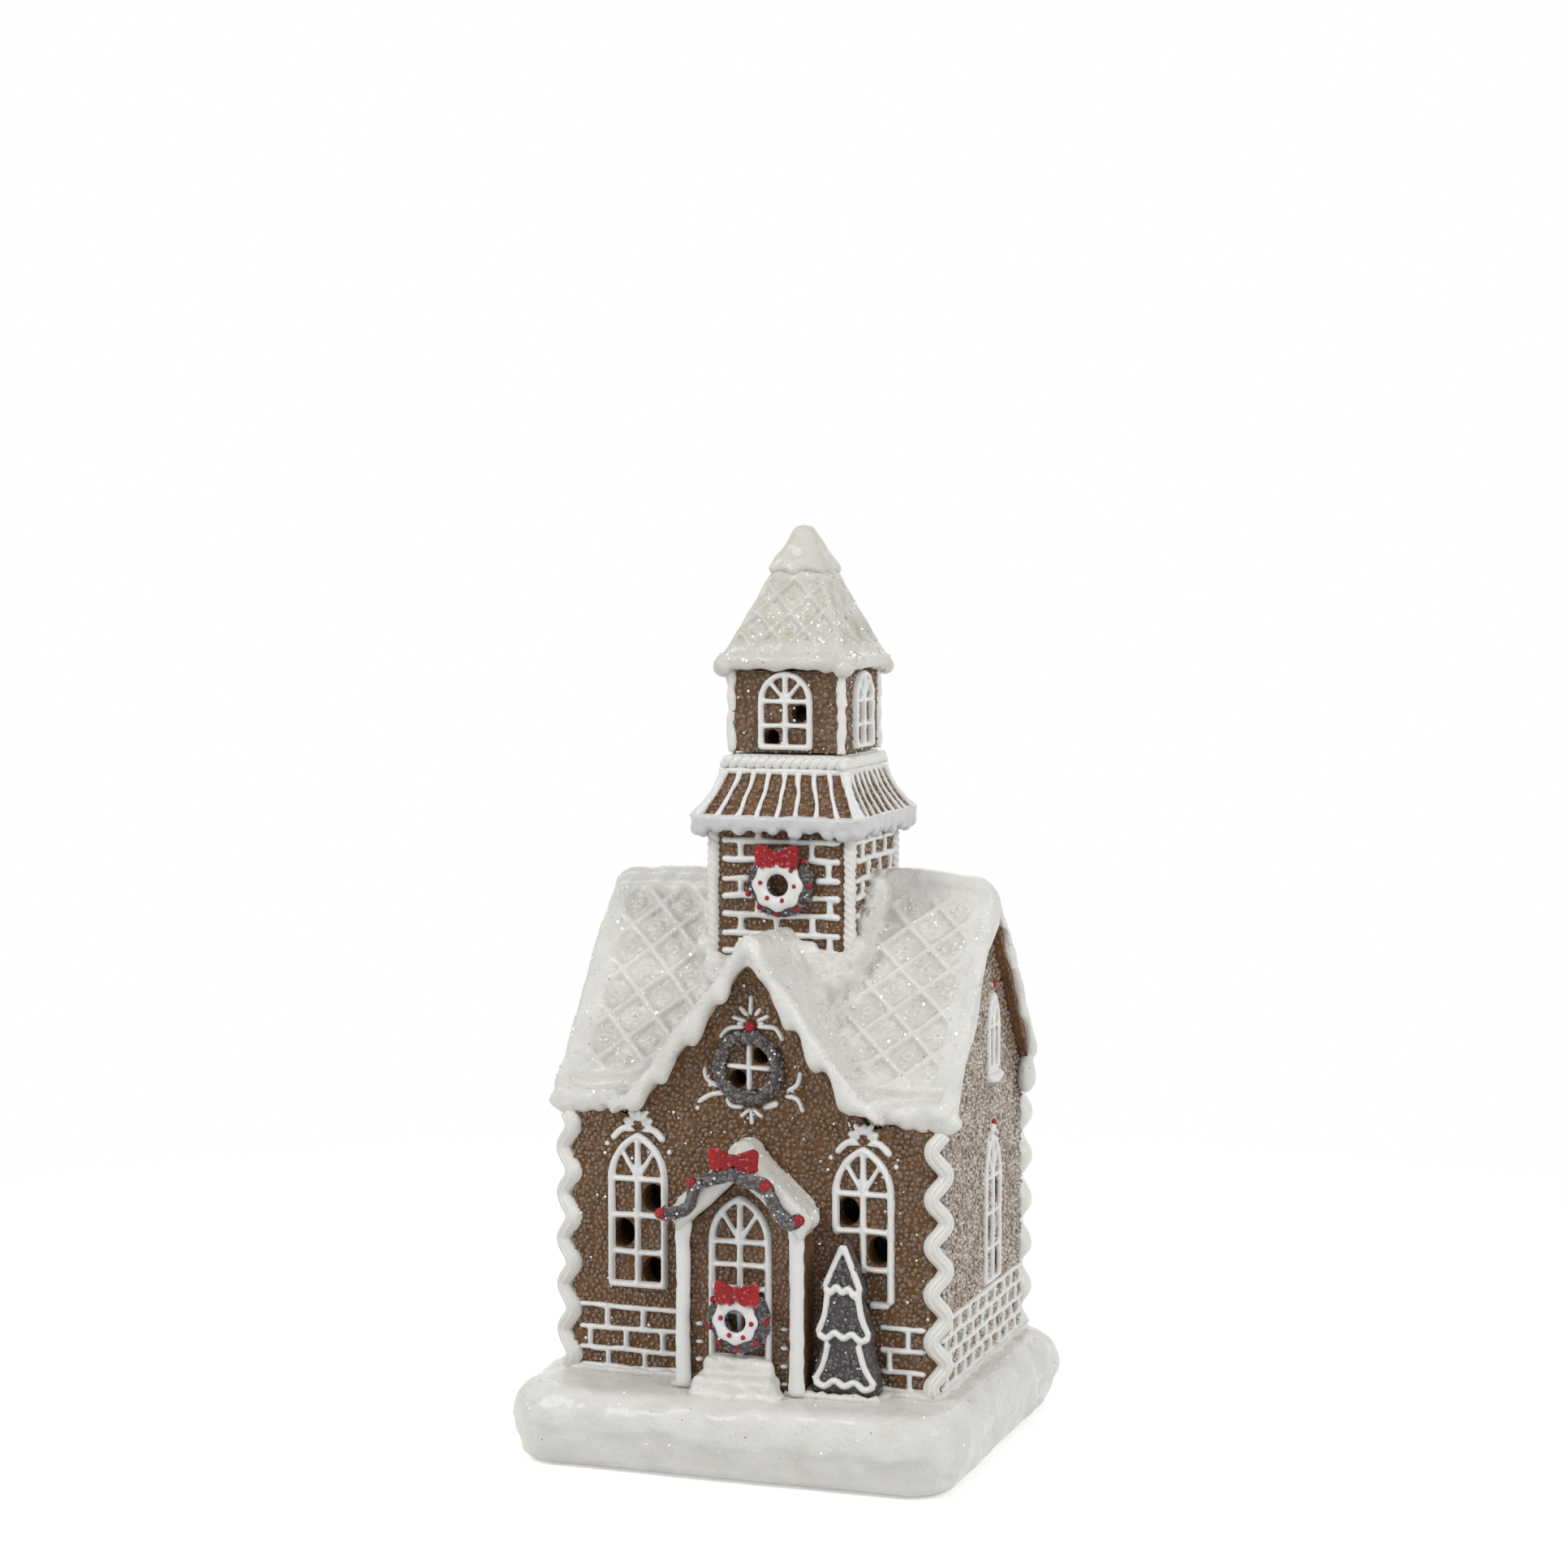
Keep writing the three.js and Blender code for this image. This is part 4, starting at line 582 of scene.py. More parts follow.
# %% Melt and press
def melt(bm, voxel, smooth=5):
    """Melts overlapping shapes into one skin and smooths it."""
    bmesh.ops.recalc_face_normals(bm, faces=bm.faces)
    mesh = bpy.data.meshes.new("lumps")
    bm.to_mesh(mesh)
    bm.free()
    lumps = bpy.data.objects.new("lumps", mesh)
    bpy.context.scene.collection.objects.link(lumps)
    skin = lumps.modifiers.new("skin", "REMESH")
    skin.mode = "VOXEL"
    skin.voxel_size = voxel * 1.0
    melted = bpy.data.meshes.new_from_object(lumps.evaluated_get(bpy.context.evaluated_depsgraph_get()))
    bpy.data.objects.remove(lumps)
    bm = bmesh.new()
    bm.from_mesh(melted)
    for _ in range(smooth):
        bmesh.ops.smooth_vert(
            bm, verts=bm.verts, factor=0.5, use_axis_x=True, use_axis_y=True, use_axis_z=True
        )
    return bm


def press(bm, change):
    """Moves each point along its normal and stores its painted shade and tint, both as change says."""
    layer = bm.verts.layers.float.new("painted_shade_and_patches")
    bm.normal_update()
    for vert, normal, (distance, painted_shade_and_patches) in [(v, v.normal.copy(), change(v.co, v.normal)) for v in bm.verts]:
        vert.co += normal * distance
        vert[layer] = painted_shade_and_patches


def site(face):
    """Where a face lies and which way it looks."""
    return face.calc_center_median(), face.normal.copy()


def ease(value, low, high):
    """Rises softly from 0 to 1 between two values."""
    share = min(1.0, max(0.0, (value - low) / (high - low)))
    return share * share * (3 - 2 * share)


def lumps(point, size):
    """Smooth noise with lumps of a size in millimetres."""
    return noise.noise(point / size)


# %% [markdown]
# ## The pillow of snow
# The base is a thick pillow, widest at mid height, with a second fall of snow that ends in a soft wavy
# step round its side. It is one net: rings of a rounded rectangle run from the bay for the battery tray,
# out over the flat foot, up the side and in over the top. It keeps the bay open, as the tray sits in it.

# %% Snow base
def rounded_ring(i, corner_steps, side_steps, width, depth, radius):
    """A place on a rectangle with rounded corners, by its count along the line."""
    quarter, k = divmod(i % (4 * (corner_steps + side_steps)), corner_steps + side_steps)

    def corner(q, share):
        q = q % 4
        sx, sy = ((1, 1), (-1, 1), (-1, -1), (1, -1))[q]
        turn = (q + share) * math.pi / 2
        return Vector((
            sx * (width / 2 - radius) + radius * math.cos(turn),
            sy * (depth / 2 - radius) + radius * math.sin(turn), 0
        ))

    if k <= corner_steps:
        return corner(quarter, k / corner_steps)
    return corner(quarter, 1).lerp(corner(quarter + 1, 0), (k - corner_steps) / side_steps)


BASE_X, BASE_Y, BASE_Z = 111.5, 106.5, 19.0
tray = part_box("battery_tray")
bay = [(tray[1][a] - tray[0][a]) * 1000 + 0.6 for a in (0, 1)]
bay_middle = Vector([(tray[1][a] + tray[0][a]) * 500 for a in (0, 1)] + [0]) - Vector((0, SETBACK, 0))
bay_top = tray[1][2] * 1000 + 0.3


def snow_base():
    """The pillow of snow, round the bay for the battery tray."""
    bm = bmesh.new()
    corner_steps, side_steps = ((14, 80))
    levels = [("bay", 0, bay_top), ("bay", 1, bay_top), ("bay", 1, 0.0)]
    side_levels = 32
    for level in range(side_levels + 1):
        height = (1 - math.cos(math.pi * level / side_levels)) / 2
        off = abs(2 * height - 1)
        levels.append(("side", 7.5 * (1 - (1 - off**2.4) ** (1 / 2.4)), BASE_Z * height))
    for inset in (9, 10.5, 12, 13.5, 15, 17, 20):
        levels.append(("side", inset, BASE_Z))
    levels.append(("bay", 0, BASE_Z))

    def place(i, j):
        kind, inset, z = levels[j]
        if kind == "bay":
            point = Vector((0, 0, 0))
            if inset:
                point = rounded_ring(i, corner_steps, side_steps, bay[0], bay[1], 0.4)
            return point + bay_middle + Vector((0, 0, z))
        ring = rounded_ring(
            i, corner_steps, side_steps, BASE_X - 2 * inset, BASE_Y - 2 * inset, max(13 - inset, 3.75)
        )
        return ring + Vector((0, -SETBACK, z))

    net(bm, 4 * (corner_steps + side_steps), len(levels) - 1, place)
    bmesh.ops.recalc_face_normals(bm, faces=bm.faces)

    def drape(co, normal):
        if co.z < 0.05 or bay_top - 0.1 < co.z < bay_top + 0.1 or (
            abs(co.x) < 40 and co.z < 18 and abs(co.y + SETBACK) < 30
        ):
            return 0.0, 0.0
        foot = ease(co.z, 0.0, 4.0)
        around = Vector((co.x, co.y, 0))
        edge = 9.0 + 2.4 * lumps(around, 9) + 1.5 * lumps(around + Vector((50, 0, 0)), 21)
        side = ease(1 - abs(normal.z), 0.1, 0.6)
        step = ease(co.z, edge - 1.1, edge + 0.9) - 0.75
        shape = 0.7 * step * side + 0.45 * lumps(co, 4.2) + 0.95 * lumps(co, 7.5)
        shape += 0.8 * lumps(co + Vector((9, 9, 9)), 17)
        top = ease(normal.z, 0.7, 1.0)
        shape = shape * (1 - 0.5 * top) - 0.3
        # The second number is painted shade, laid in the dents of the side.
        return foot * shape, 0.35 * side * max(0.0, -lumps(co, 7.5))

    press(bm, drape)
    return bm


base = snow_base()
base_sites = [site(f) for f in base.faces if f.normal.z > -0.1 and f.calc_center_median().z > 4]
piece("snow_pillow", base, snow, ["snow_base"])

bm = bmesh.new()
foot = [
    rounded_ring(i, 4, 26, 2 * SIDE + 1.0, FRONT + BACK + 1.0, 1.5)
    + Vector((0, (BACK - FRONT) / 2, FLOOR - 0.4))
    for i in range(120)
]
rod(bm, foot, 1.5, 10, 0.8, closed=True, rough=0.9)
for sides in (
    [(-15.8, -39), (-15.8, -46.4), (-9.5, -46.6)], [(11.5, -46.6), (16.9, -46.4), (16.9, -39.4)],
    [(16.6, -41), (17.0, -46.2), (25.2, -46.8), (33.6, -46.2), (34.2, -39.6)]
):
    rod(bm, straight([(x, y, FLOOR - 0.3) for x, y in sides], 1.2), 1.35, 10, 0.8, rough=0.9)
piece("snow_drifts", bm, snow)


# %% [markdown]
# ## The main roofs
# Each slope is a plate with a little lift towards the eave, where the snow rolled up. A tube runs along
# the eave, balls hang from it as drips, and a wavy band hangs down at each end of the house. The front
# slopes stop at the valley of the cross gable, and carry the rounded ridge. Brown plates of dough show
# under the back slope's snow at both ends.

# %% Roof lines
def slope_top(distance):
    """Height of the main slope at a distance from the ridge, with its lift near the eave."""
    return RIDGE - SLOPE * distance + 2.3 * max(0.0, (distance - 24) / 14) ** 2


def main_slope(bm, sign, eave, x_from, x_to, drips):
    """A plate, an eave roll and drips. The sign is -1 for the front slope and 1 for the back one."""
    roll_y, roll_z = eave
    stops = [0, 4, 10, 18, 24, 29, 33, roll_y - 1.5]
    top = [(0, sign * d, slope_top(d) - 0.4) for d in stops]
    under = [(0, sign * d, slope_top(d) - 6.6) for d in reversed(stops)]
    if sign < 0:
        slab(bm, top + under, Vector((x_from, 0, 0)), Vector((x_to, 0, 0)))
    else:
        slab(bm, top + under, Vector((-46.0, 0, 0)), Vector((46.0, 0, 0)))
        thin = [(0, d, slope_top(d) - 2.6) for d in reversed(stops)]
        slab(bm, top + thin, Vector((x_from, 0, 0)), Vector((x_to, 0, 0)))
    steps = max(4, round(abs(x_to - x_from) / 1.5))
    path = []
    for i in range(steps + 1):
        x = x_from + (x_to - x_from) * i / steps
        path.append(Vector((
            x, sign * roll_y, roll_z + 0.5 * math.sin(x / 2.9) + 0.6 * wobble(x / 6, sign * 3, 0)
        )))
    rod(bm, path, lambda t: 2.75, 14, rough=0.12)
    for x, size, low in drips:
        ball(bm, Vector((x, sign * (roll_y + 0.2), roll_z - low)), size, (1.25, 0.9, 1.0), 12)


def rake(bm, sign, x_side, roll_y, phase):
    """The snow that hangs down over an end wall, with a wavy lower edge."""
    rings = []
    steps = 60
    for i in range(steps + 1):
        d = (roll_y + 0.5) * i / steps
        along = d / math.cos(PITCH)
        drop = (5.9 if sign < 0 else 4.2) + 1.7 * math.sin(2 * math.pi * (
            d / (18 if sign < 0 else 10) + phase
        )) + 0.9 * wobble(along / 5, x_side, sign)
        half = max(1.7, drop / 2 + 0.4)
        wide = 2.25 if sign < 0 else 1.5 + 0.35 * math.sin(d / 1.3 + x_side)
        centre = Vector((x_side * (BARGE - wide), sign * d, slope_top(d) + 0.3 - half))
        rings.append((centre, Vector((wide, 0, 0)), Vector((0, 0, half))))
    sweep(bm, closed_ends(rings), 16)


FRONT_EAVE, BACK_EAVE = (37.4, 84.3), (35.2, 87.2)


# %% Lattice
def lattice(x, s, x0, s0, dx, ds):
    """Height and painted shade of the waffle pattern: raised ribs round cells, a dimpled button in each, with
    the shade in the cells and dimples.
    """
    a, b = (x - x0) / dx, (s - s0) / ds
    p, q = (a + b) / 2, (a - b) / 2
    p, q = abs(p - round(p)), abs(q - round(q))
    from_rib = (0.5 - max(p, q)) * 8.7
    rib = 1 - ease(from_rib, 0.4, 1.25)
    from_middle = math.hypot(p, q) * 8.7
    button = 1 - ease(from_middle, 1.1, 1.8)
    dimple = 1 - ease(from_middle, 0.2, 0.7)
    crumbs = 0.3 * noise.noise(Vector((x, s, 0)) * 1.5) + 0.25 * noise.noise(Vector((x, s, 9)) * 0.6)
    height = -1.0 * (1 - rib) + crumbs * (1 - 0.7 * rib) + 0.5 * button - 0.45 * dimple
    # Painted shade: darker in the cells and dimples, lighter on the ribs and buttons.
    shade = 0.5 * (1 - rib) * (1 - 0.6 * button) + 0.6 * dimple
    return height, shade


def slope_pattern(co, normal, sign):
    """Height and painted shade of the pressed pattern on a main slope; off the pattern, only random greyer
    patches.
    """
    distance = sign * co.y
    facing = normal.y * sign * math.sin(PITCH) + normal.z * math.cos(PITCH)
    s = (distance - 0.9) * math.cos(PITCH) + (RIDGE - co.z) * math.sin(PITCH)
    shape = 0.35 * lumps(co, 5.0) + 0.3 * lumps(co + Vector((0, 0, 40)), 12)
    fade = ease(facing, 0.8, 0.93) * ease(50 - abs(co.x), 5.0, 8.5)
    fade *= ease(s, 4.5, 8.5) * ease(58.5 - s, 0.0, 5.0)
    if sign < 0:
        fade *= ease(abs(co.x) + VALLEY - distance, 1.5, 5.5)
    fade *= ease(max(abs(co.x) - TOWER, distance - (TOWER - sign * TOWER_Y)), 0.5, 4.5)
    if fade <= 0:
        return shape, 0.25 * max(0.0, lumps(co, 4))
    wander = 0.35 * noise.noise(co / 9)
    if sign > 0:
        height, painted_shade_and_patches = lattice(co.x + wander, s, 0.0, 16.0, 6.1, 6.1)
    elif co.x < 0:
        height, painted_shade_and_patches = lattice(co.x + wander, s, -34.6, 16.3, 6.05, 6.3)
    else:
        height, painted_shade_and_patches = lattice(co.x + wander, s, 35.8, 13.6, 6.1, 5.8)
    return shape * (1 - 0.6 * fade) + height * fade, painted_shade_and_patches * fade


# %% Front slopes
def front_slope(side):
    """The lumps of one front slope, cut at the valley of the cross gable."""
    bm = bmesh.new()
    inner = 12 if side > 0 else -12
    main_slope(bm, -1, FRONT_EAVE, inner, side * 48.5, [])
    bmesh.ops.bisect_plane(
        bm, geom=bm.verts[:] + bm.edges[:] + bm.faces[:], plane_co=(side * 3, -VALLEY - 3, 100),
        plane_no=(-side, -1, 0), clear_outer=True
    )
    bmesh.ops.edgenet_fill(bm, edges=[e for e in bm.edges if e.is_boundary])
    for x, size, low in [
        (34.5, 2.1, 0.4), (38.4, 2.5, 1.2), (42.2, 2.4, 1.7), (46.8, 2.7, 1.9), (48.6, 2.2, 1.4)
    ]:
        ball(bm, Vector((side * x, -37.6, FRONT_EAVE[1] - low)), size, (1.3, 0.95, 1.0), 12)
    crest = (133.3, 0.2) if side < 0 else (134.7, 1.5)
    ridge_line = [
        Vector((side * x, 0.4, crest[0] - crest[1] * ease(x, 26, 48) + 0.25 * math.sin(x / 4)))
        for x in range(12, 50, 2)
    ]
    rod(bm, ridge_line, 2.8, 14, rough=0.1)
    rake(bm, -1, side, FRONT_EAVE[0], 0.1 if side > 0 else 0.35)
    for y, z, size in ((-14, 118.6, 3.0), (-9, 125, 3.2), (-4.5, 130, 2.8), (0, 132.6, 3.0)):
        ball(bm, Vector((side * 19.2, y, z)), size, (1.0, 1.5, 1.4), 14)
    return bm


def slump(bm):
    """Rounds the ends of the ridge, where the snow sags over the end walls."""
    for vert in bm.verts:
        over = max(0.0, abs(vert.co.x) - 44.0) / 5.0
        vert.co.z -= 3.4 * over * over * ease(vert.co.z, 117, 133)


roof_sites = []


def keep_sites(bm, test):
    """Keeps the faces that pass a test as places for glitter."""
    roof_sites.extend(site(f) for f in bm.faces if test(f))


# %% Back slope
bm = bmesh.new()
main_slope(
    bm, 1, BACK_EAVE, -48.5, 48.5,
    [(x, 2.2 + 0.5 * chance.random(), 1.0 + chance.random()) for x in range(-46, 48, 5)]
)
for side in (-1, 1):
    rake(bm, 1, side, BACK_EAVE[0], 0.0 if side > 0 else 0.4)
    ball(bm, Vector((side * 47.6, 32.4, 83.6)), 2.9, (0.8, 1.3, 1.6), 14)
bm = melt(bm, 0.55)
slump(bm)
press(bm, lambda co, normal: slope_pattern(co, normal, 1))
keep_sites(bm, lambda f: f.normal.y > 0.5 and f.normal.z > 0.3)
piece("roof_snow_back", bm, snow, ["roof_back"])

bm = bmesh.new()
for side in (-1, 1):
    stops = [1.5, 8, 16, 24, 29, 33]
    top = [(0, d, slope_top(d) - 2.3) for d in stops]
    under = [(0, d, slope_top(d) - 7.0 - 0.5 * math.sin(d)) for d in reversed(stops)]
    slab(bm, top + under, Vector((side * 45.0, 0, 0)), Vector((side * 48.2, 0, 0)))
piece("roof_dough_back", bm, dough, smooth=False)


# %% [markdown]
# ## The cross gable
# Its snow is smooth, without lattice. A broad band folds over the front edge and ends in small scallops,
# and at the peak it climbs against the tower. The snow of the gable and of both front slopes runs
# together in the valleys, so the three are melted into one skin.

# %% Gable snow
def gable_lumps(bm):
    """The snow of the cross gable with its scalloped edges."""
    reach = 33.6
    for side in (-1, 1):
        stops = [0, 6, 14, 22, 28, reach]
        top = [
            (
                0.8 * (1 - d / reach) + side * d, 0,
                GABLE_RIDGE - SLOPE * d - 0.3 + 1.2 * max(0, (d - 22) / 11) ** 2
            )
            for d in stops
        ]
        hem = 84.4 if side > 0 else 82.2
        under = [(x, y, max(z - 5.4, hem - 0.3)) for x, y, z in reversed(top)]
        slab(bm, top + under, Vector((0, -43.0, 0)), Vector((0, -6, 0)))
        rings = []
        for i in range(61):
            d = 0.2 + (reach - 0.6) * i / 60
            scallop = math.sin(2 * math.pi * (d / 7.2 + (0.0 if side > 0 else 0.5)))
            drop = 4.9 + 2.2 * ease(d, 0, 9) + 2.1 * scallop * ease(d, 1, 5)
            drop += 1.1 * wobble(d / 4.5, side * 4, 0)
            line = GABLE_RIDGE - SLOPE * d + 1.2 * max(0, (d - 22) / 11) ** 2 + 0.7 * (1 - ease(d, 0, 8))
            low = max(line - drop - 0.3, hem + 0.6 * math.sin(d * 1.1 + side))
            half = max(1.3, (line + 0.2 - low) / 2)
            rings.append((
                Vector((0.8 * (1 - d / reach) + side * d, -41.9, (line + 0.2 + low) / 2)),
                Vector((0, 2.9, 0)),
                Vector((0, 0, half))
            ))
        sweep(bm, closed_ends(rings), 16)
        ball(bm, Vector((side * (reach - 0.6), -41.2, hem + 1.9)), 2.2, (1.3, 1.0, 1.0), 14)
        ball(bm, Vector((side * (reach + 1.6), -39.4, 84.6)), 2.4, (1.3, 1.0, 1.0), 14)
    ridge_line = [Vector((0.8, y, 120.6 + 0.7 * ease(-y, 26, 43))) for y in range(-43, -13, 2)]
    rod(bm, ridge_line, 3.5, 16, rough=0.08)
    bank = flow(
        [
            (-18.5, -17.6, 114.9), (-12, -18.4, 113.6), (-5, -18.6, 117.2), (1.5, -18.4, 119.4),
            (8, -18.4, 117.0), (13, -18.4, 114.9), (19.5, -17.0, 116.8)
        ],
        1.0
    )
    rod(bm, bank, 3.2, 14, rough=0.1)
    for x, y, z, size in (
        (9.5, -19.6, 114.0, 3.6), (13.5, -20.0, 111.8, 3.8), (16.8, -18.8, 113.2, 3.4),
        (11.0, -21.5, 110.2, 3.2),
        (-12.5, -20.4, 110.8, 3.2), (-15.5, -19.2, 112.2, 2.8)
    ):
        ball(bm, Vector((x, y, z)), size, (1.1, 1.0, 1.0), 14)


bm = front_slope(-1)
right = bpy.data.meshes.new("right")
other = front_slope(1)
other.to_mesh(right)
other.free()
bm.from_mesh(right)
gable_lumps(bm)
bm = melt(bm, 0.54, 4)
slump(bm)


def front_pattern(co, normal):
    """Lattice on the main slopes, soft dents on the gable, and lumps in the valleys between them, with
    painted shade in the lattice cells and the valleys and random greyer patches on the gable.
    """
    past_valley = abs(co.x) + VALLEY + co.y
    valley = 1 - ease(abs(past_valley), 1.0, 6.0)
    by_tower = (1 - ease(max(abs(co.x) - TOWER, abs(co.y) - TOWER), 1.5, 7.0)) * (
        1.0 if co.x > TOWER else 0.4 if past_valley > 0 else 0.1
    )
    rough = 1.0 * max(valley, by_tower) * (lumps(co, 2.2) + 0.6 * lumps(co, 1.3)) if normal.z > 0.3 else 0.0
    if past_valley > 0:
        height, painted_shade_and_patches = slope_pattern(co, normal, -1)
        return height + rough, painted_shade_and_patches + 0.3 * valley * max(0.0, lumps(co, 2.5))
    height = 0.45 * lumps(co, 4.5) + 0.5 * lumps(co, 11) + rough
    shade = (0.3 + 0.4 * valley) * max(0.0, lumps(co, 5)) * ease(normal.z, 0.2, 0.6)
    return height, shade


press(bm, front_pattern)
keep_sites(bm, lambda f: f.normal.z > 0.3 and f.normal.y < 0.3 and f.calc_center_median().z < 131)
piece(
    "roof_snow_front", bm, snow,
    ["roof_front_left", "roof_front_right", "gable_roof_left", "gable_roof_right"]
)
print("places for glitter on the roofs", len(roof_sites))


# %% [markdown]
# ## The tower's skirt, belt, spire and cap
# Below the belfry a flared skirt of dough carries white battens and ends in a lip of icing with wavy
# drips, its icing darker and bluer as painted shade. A belt of rope icing runs round its top. The spire is a
# steep pyramid with a worn lattice, a lumpy roll at the eave, and a cap of fresh snow on its tip; spire and
# cap are in a darker copy of the snow, as painted shade.

# %% Square forms round the tower
def square_path(half, z, step, corner=1.2):
    """A closed path round a square with rounded corners, centred on the tower."""
    count = round(8 * half / step / 4) * 4
    side_steps = max(2, count // 4 - 3)
    return [
        rounded_ring(i, 3, side_steps, 2 * half, 2 * half, corner) + Vector((0, TOWER_Y, z))
        for i in range(4 * (3 + side_steps))
    ]


def square_loft(bm, levels, corner=0.8):
    """A closed skin through squares, each with its half width and height."""
    rings = [(0, levels[0][1])] + levels + [(0, levels[-1][1])]

    def place(i, j):
        half, z = rings[j]
        radius = min(corner, half * 0.6)
        return (
            rounded_ring(i, 3, 8, 2 * half, 2 * half, radius) if half else Vector((0, 0, 0))
        ) + Vector((0, TOWER_Y, z))

    net(bm, 44, len(rings) - 1, place)


def drops(bm, half, z, places, sizes):
    """Drips under each edge of a square roof."""
    for turn in range(4):
        spin = Matrix.Rotation(math.radians(90 * turn), 3, "Z")
        for (u, low), size in zip(places, sizes):
            ball(
                bm, spin @ Vector((u, -half, 0)) + Vector((0, TOWER_Y, z - low)), size, (1.15, 1.15, 1.0), 12
            )


# %% Skirt
def curl(t):
    """How far in the flared skirt has come at a share of its height."""
    return 1 - max(0.0, 1 - t) ** 1.35


bm = bmesh.new()
flare = [(21.0 - 5.9 * curl(t), SKIRT_FOOT + SKIRT_RISE * t) for t in (0, 0.2, 0.4, 0.6, 0.8, 1.0)]
square_loft(bm, [(19.5, 148.0), (21.2, 148.8)] + flare)
bmesh.ops.subdivide_edges(
    bm, edges=[e for e in bm.edges if e.calc_length() > 2.2], cuts=1, use_grid_fill=True
)
piece("skirt_dough", bm, dough, smooth=False)

bm = bmesh.new()
for turn in range(4):
    face = wall(0, turn, 0, TOWER_Y)
    for k in range(9):
        share = k / 8 - 0.5
        wide = 1.9 if k in (0, 8) else 1.2
        top, foot = share * 30.4, share * 41.0
        count = 12
        path = []
        for i in range(count + 1):
            t = i / count
            u = foot + (top - foot) * curl(t) + 0.5 * wobble(k * 3.1, t * 3, turn)
            path.append(face(u, 149.8 + 11.3 * t, 21.35 - 6.0 * curl(t)))
        rod(bm, path, lambda t, w=wide: w / 2 * (1.3 - 0.5 * math.sin(math.pi * t)), 8, rough=0.35)
piece("skirt_battens", bm, icing)

bm = bmesh.new()
rod(bm, square_path(20.4, 148.8, 1.5), 1.7, 12, closed=True, rough=0.3)
rod(bm, square_path(20.9, 149.7, 1.5), 1.25, 12, closed=True, rough=0.3)
drops(
    bm, 20.3, 147.7,
    [
        (-19.6, 0.6), (-15, 0.0), (-9.6, 0.5), (-5.0, 0.0), (-1.0, 0.4), (4.4, 0.9), (8.0, 0.0), (12.6, 0.8),
        (16.4, 1.2), (19.8, 0.4)
    ],
    [1.7, 1.4, 1.5, 1.3, 1.4, 1.7, 1.3, 1.6, 1.7, 1.8]
)
bm = melt(bm, 0.42, 4)
press(bm, lambda co, normal: (0.25 * lumps(co, 3.0), 0.3 * max(0.0, lumps(co, 6))))
lip_sites = [site(f) for f in bm.faces if f.normal.z > -0.2]
piece("skirt_lip", bm, cool_icing_with_painted_shade, ["skirt_roof"])

# %% Belt of rope icing
bm = bmesh.new()
square_loft(bm, [(14.4, 160.6), (14.7, 161.4), (14.7, 164.2), (14.3, 165.0)])
for turn in range(4):
    face = wall(14.75, turn, 0, TOWER_Y)
    for k in range(14):
        u = (k - 6.5) * 2.25
        a, b = face(u - 1.7, 161.9 + 0.2 * wobble(u, turn, 0), 0.1), face(
            u + 1.5, 164.4 + 0.3 * wobble(u, turn, 4), 0.1
        )
        rod(
            bm, [a.lerp(b, t / 7) for t in range(8)], lambda t: 0.45 + 0.7 * math.sin(math.pi * t) ** 0.7, 10,
            rough=0.2
        )
rod(bm, square_path(15.0, 161.0, 1.5), 0.85, 8, closed=True, rough=0.4)
piece("rope_icing", bm, warm_icing, ["rope_belt"])

# %% Spire
bm = bmesh.new()
square_loft(bm, [(15.9, 186.3), (16.3, 187.5), (15.5, 189.6), (11.3, 198.6), (7.1, 207.8), (6.2, 209.2)], 1.4)
rod(bm, square_path(15.6, 187.2, 1.6, 1.8), 1.95, 12, closed=True, rough=0.3)
drops(
    bm, 15.5, 186.9, [(-15.2, 0.7), (-10, 0.3), (-4.5, -0.3), (1, 0.0), (6, 0.2), (10.5, 0.6), (15.0, 1.3)],
    [2.1, 1.6, 1.5, 1.5, 1.6, 1.8, 2.2]
)
bm = melt(bm, 0.42, 5)


def spire_pattern(co, normal):
    """Height and painted shade of the worn lattice on the spire, with random yellowish patches over it."""
    x, y = co.x, co.y - TOWER_Y
    u = x if abs(y) > abs(x) else y
    s = (209 - co.z) * 1.115
    fade = ease(1 - abs(normal.z), 0.25, 0.5) * ease(co.z, 190.5, 193) * ease(208.0 - co.z, 0.0, 2.5)
    fade *= ease(max(abs(x), abs(y)) - abs(u), 0.8, 2.2)
    height, painted_shade_and_patches = lattice(u, s, 0.0, 6.3, 4.2, 4.6)
    worn = 0.8 + 0.5 * lumps(co, 7)
    moved = 0.4 * lumps(co, 4.5) + 0.08 * lumps(co, 1.5) + 0.8 * height * fade * worn
    shade = 0.5 * painted_shade_and_patches * fade * worn
    shade += 0.9 * max(0.0, lumps(co + Vector((7, 3, 0)), 4.5)) * ease(co.z, 190, 192)
    return moved, shade


press(bm, spire_pattern)
keep_sites(bm, lambda f: f.normal.z > 0.2)
piece("spire_snow", bm, cream_snow_with_painted_shade, ["spire_roof"])

# %% Spire cap
bm = bmesh.new()
square_loft(
    bm,
    [
        (6.5, 208.6), (7.2, 209.5), (6.8, 211.2), (5.3, 213.7), (3.9, 216.3), (2.8, 218.3), (1.9, 219.6),
        (1.0, 220.2)
    ],
    2.4
)
drops(bm, 5.8, 210.0, [(-5.4, 0.5), (-0.8, 1.0), (5.6, 0.7)], [1.3, 1.7, 1.5])
bm = melt(bm, 0.36, 9)
press(bm, lambda co, normal: (0.35 * lumps(co, 3.6), 0.3 * max(0.0, lumps(co, 3))))
piece("cap_snow", bm, cream_snow_with_painted_shade, ["spire_cap"])

# %% [markdown]
# ## Porch roof, steps and columns
# The porch is a small house front of its own. Its snow is thick and smooth, with a level ridge up to the
# wall. The columns are white bars of icing, and two loaves of packed snow make the steps.

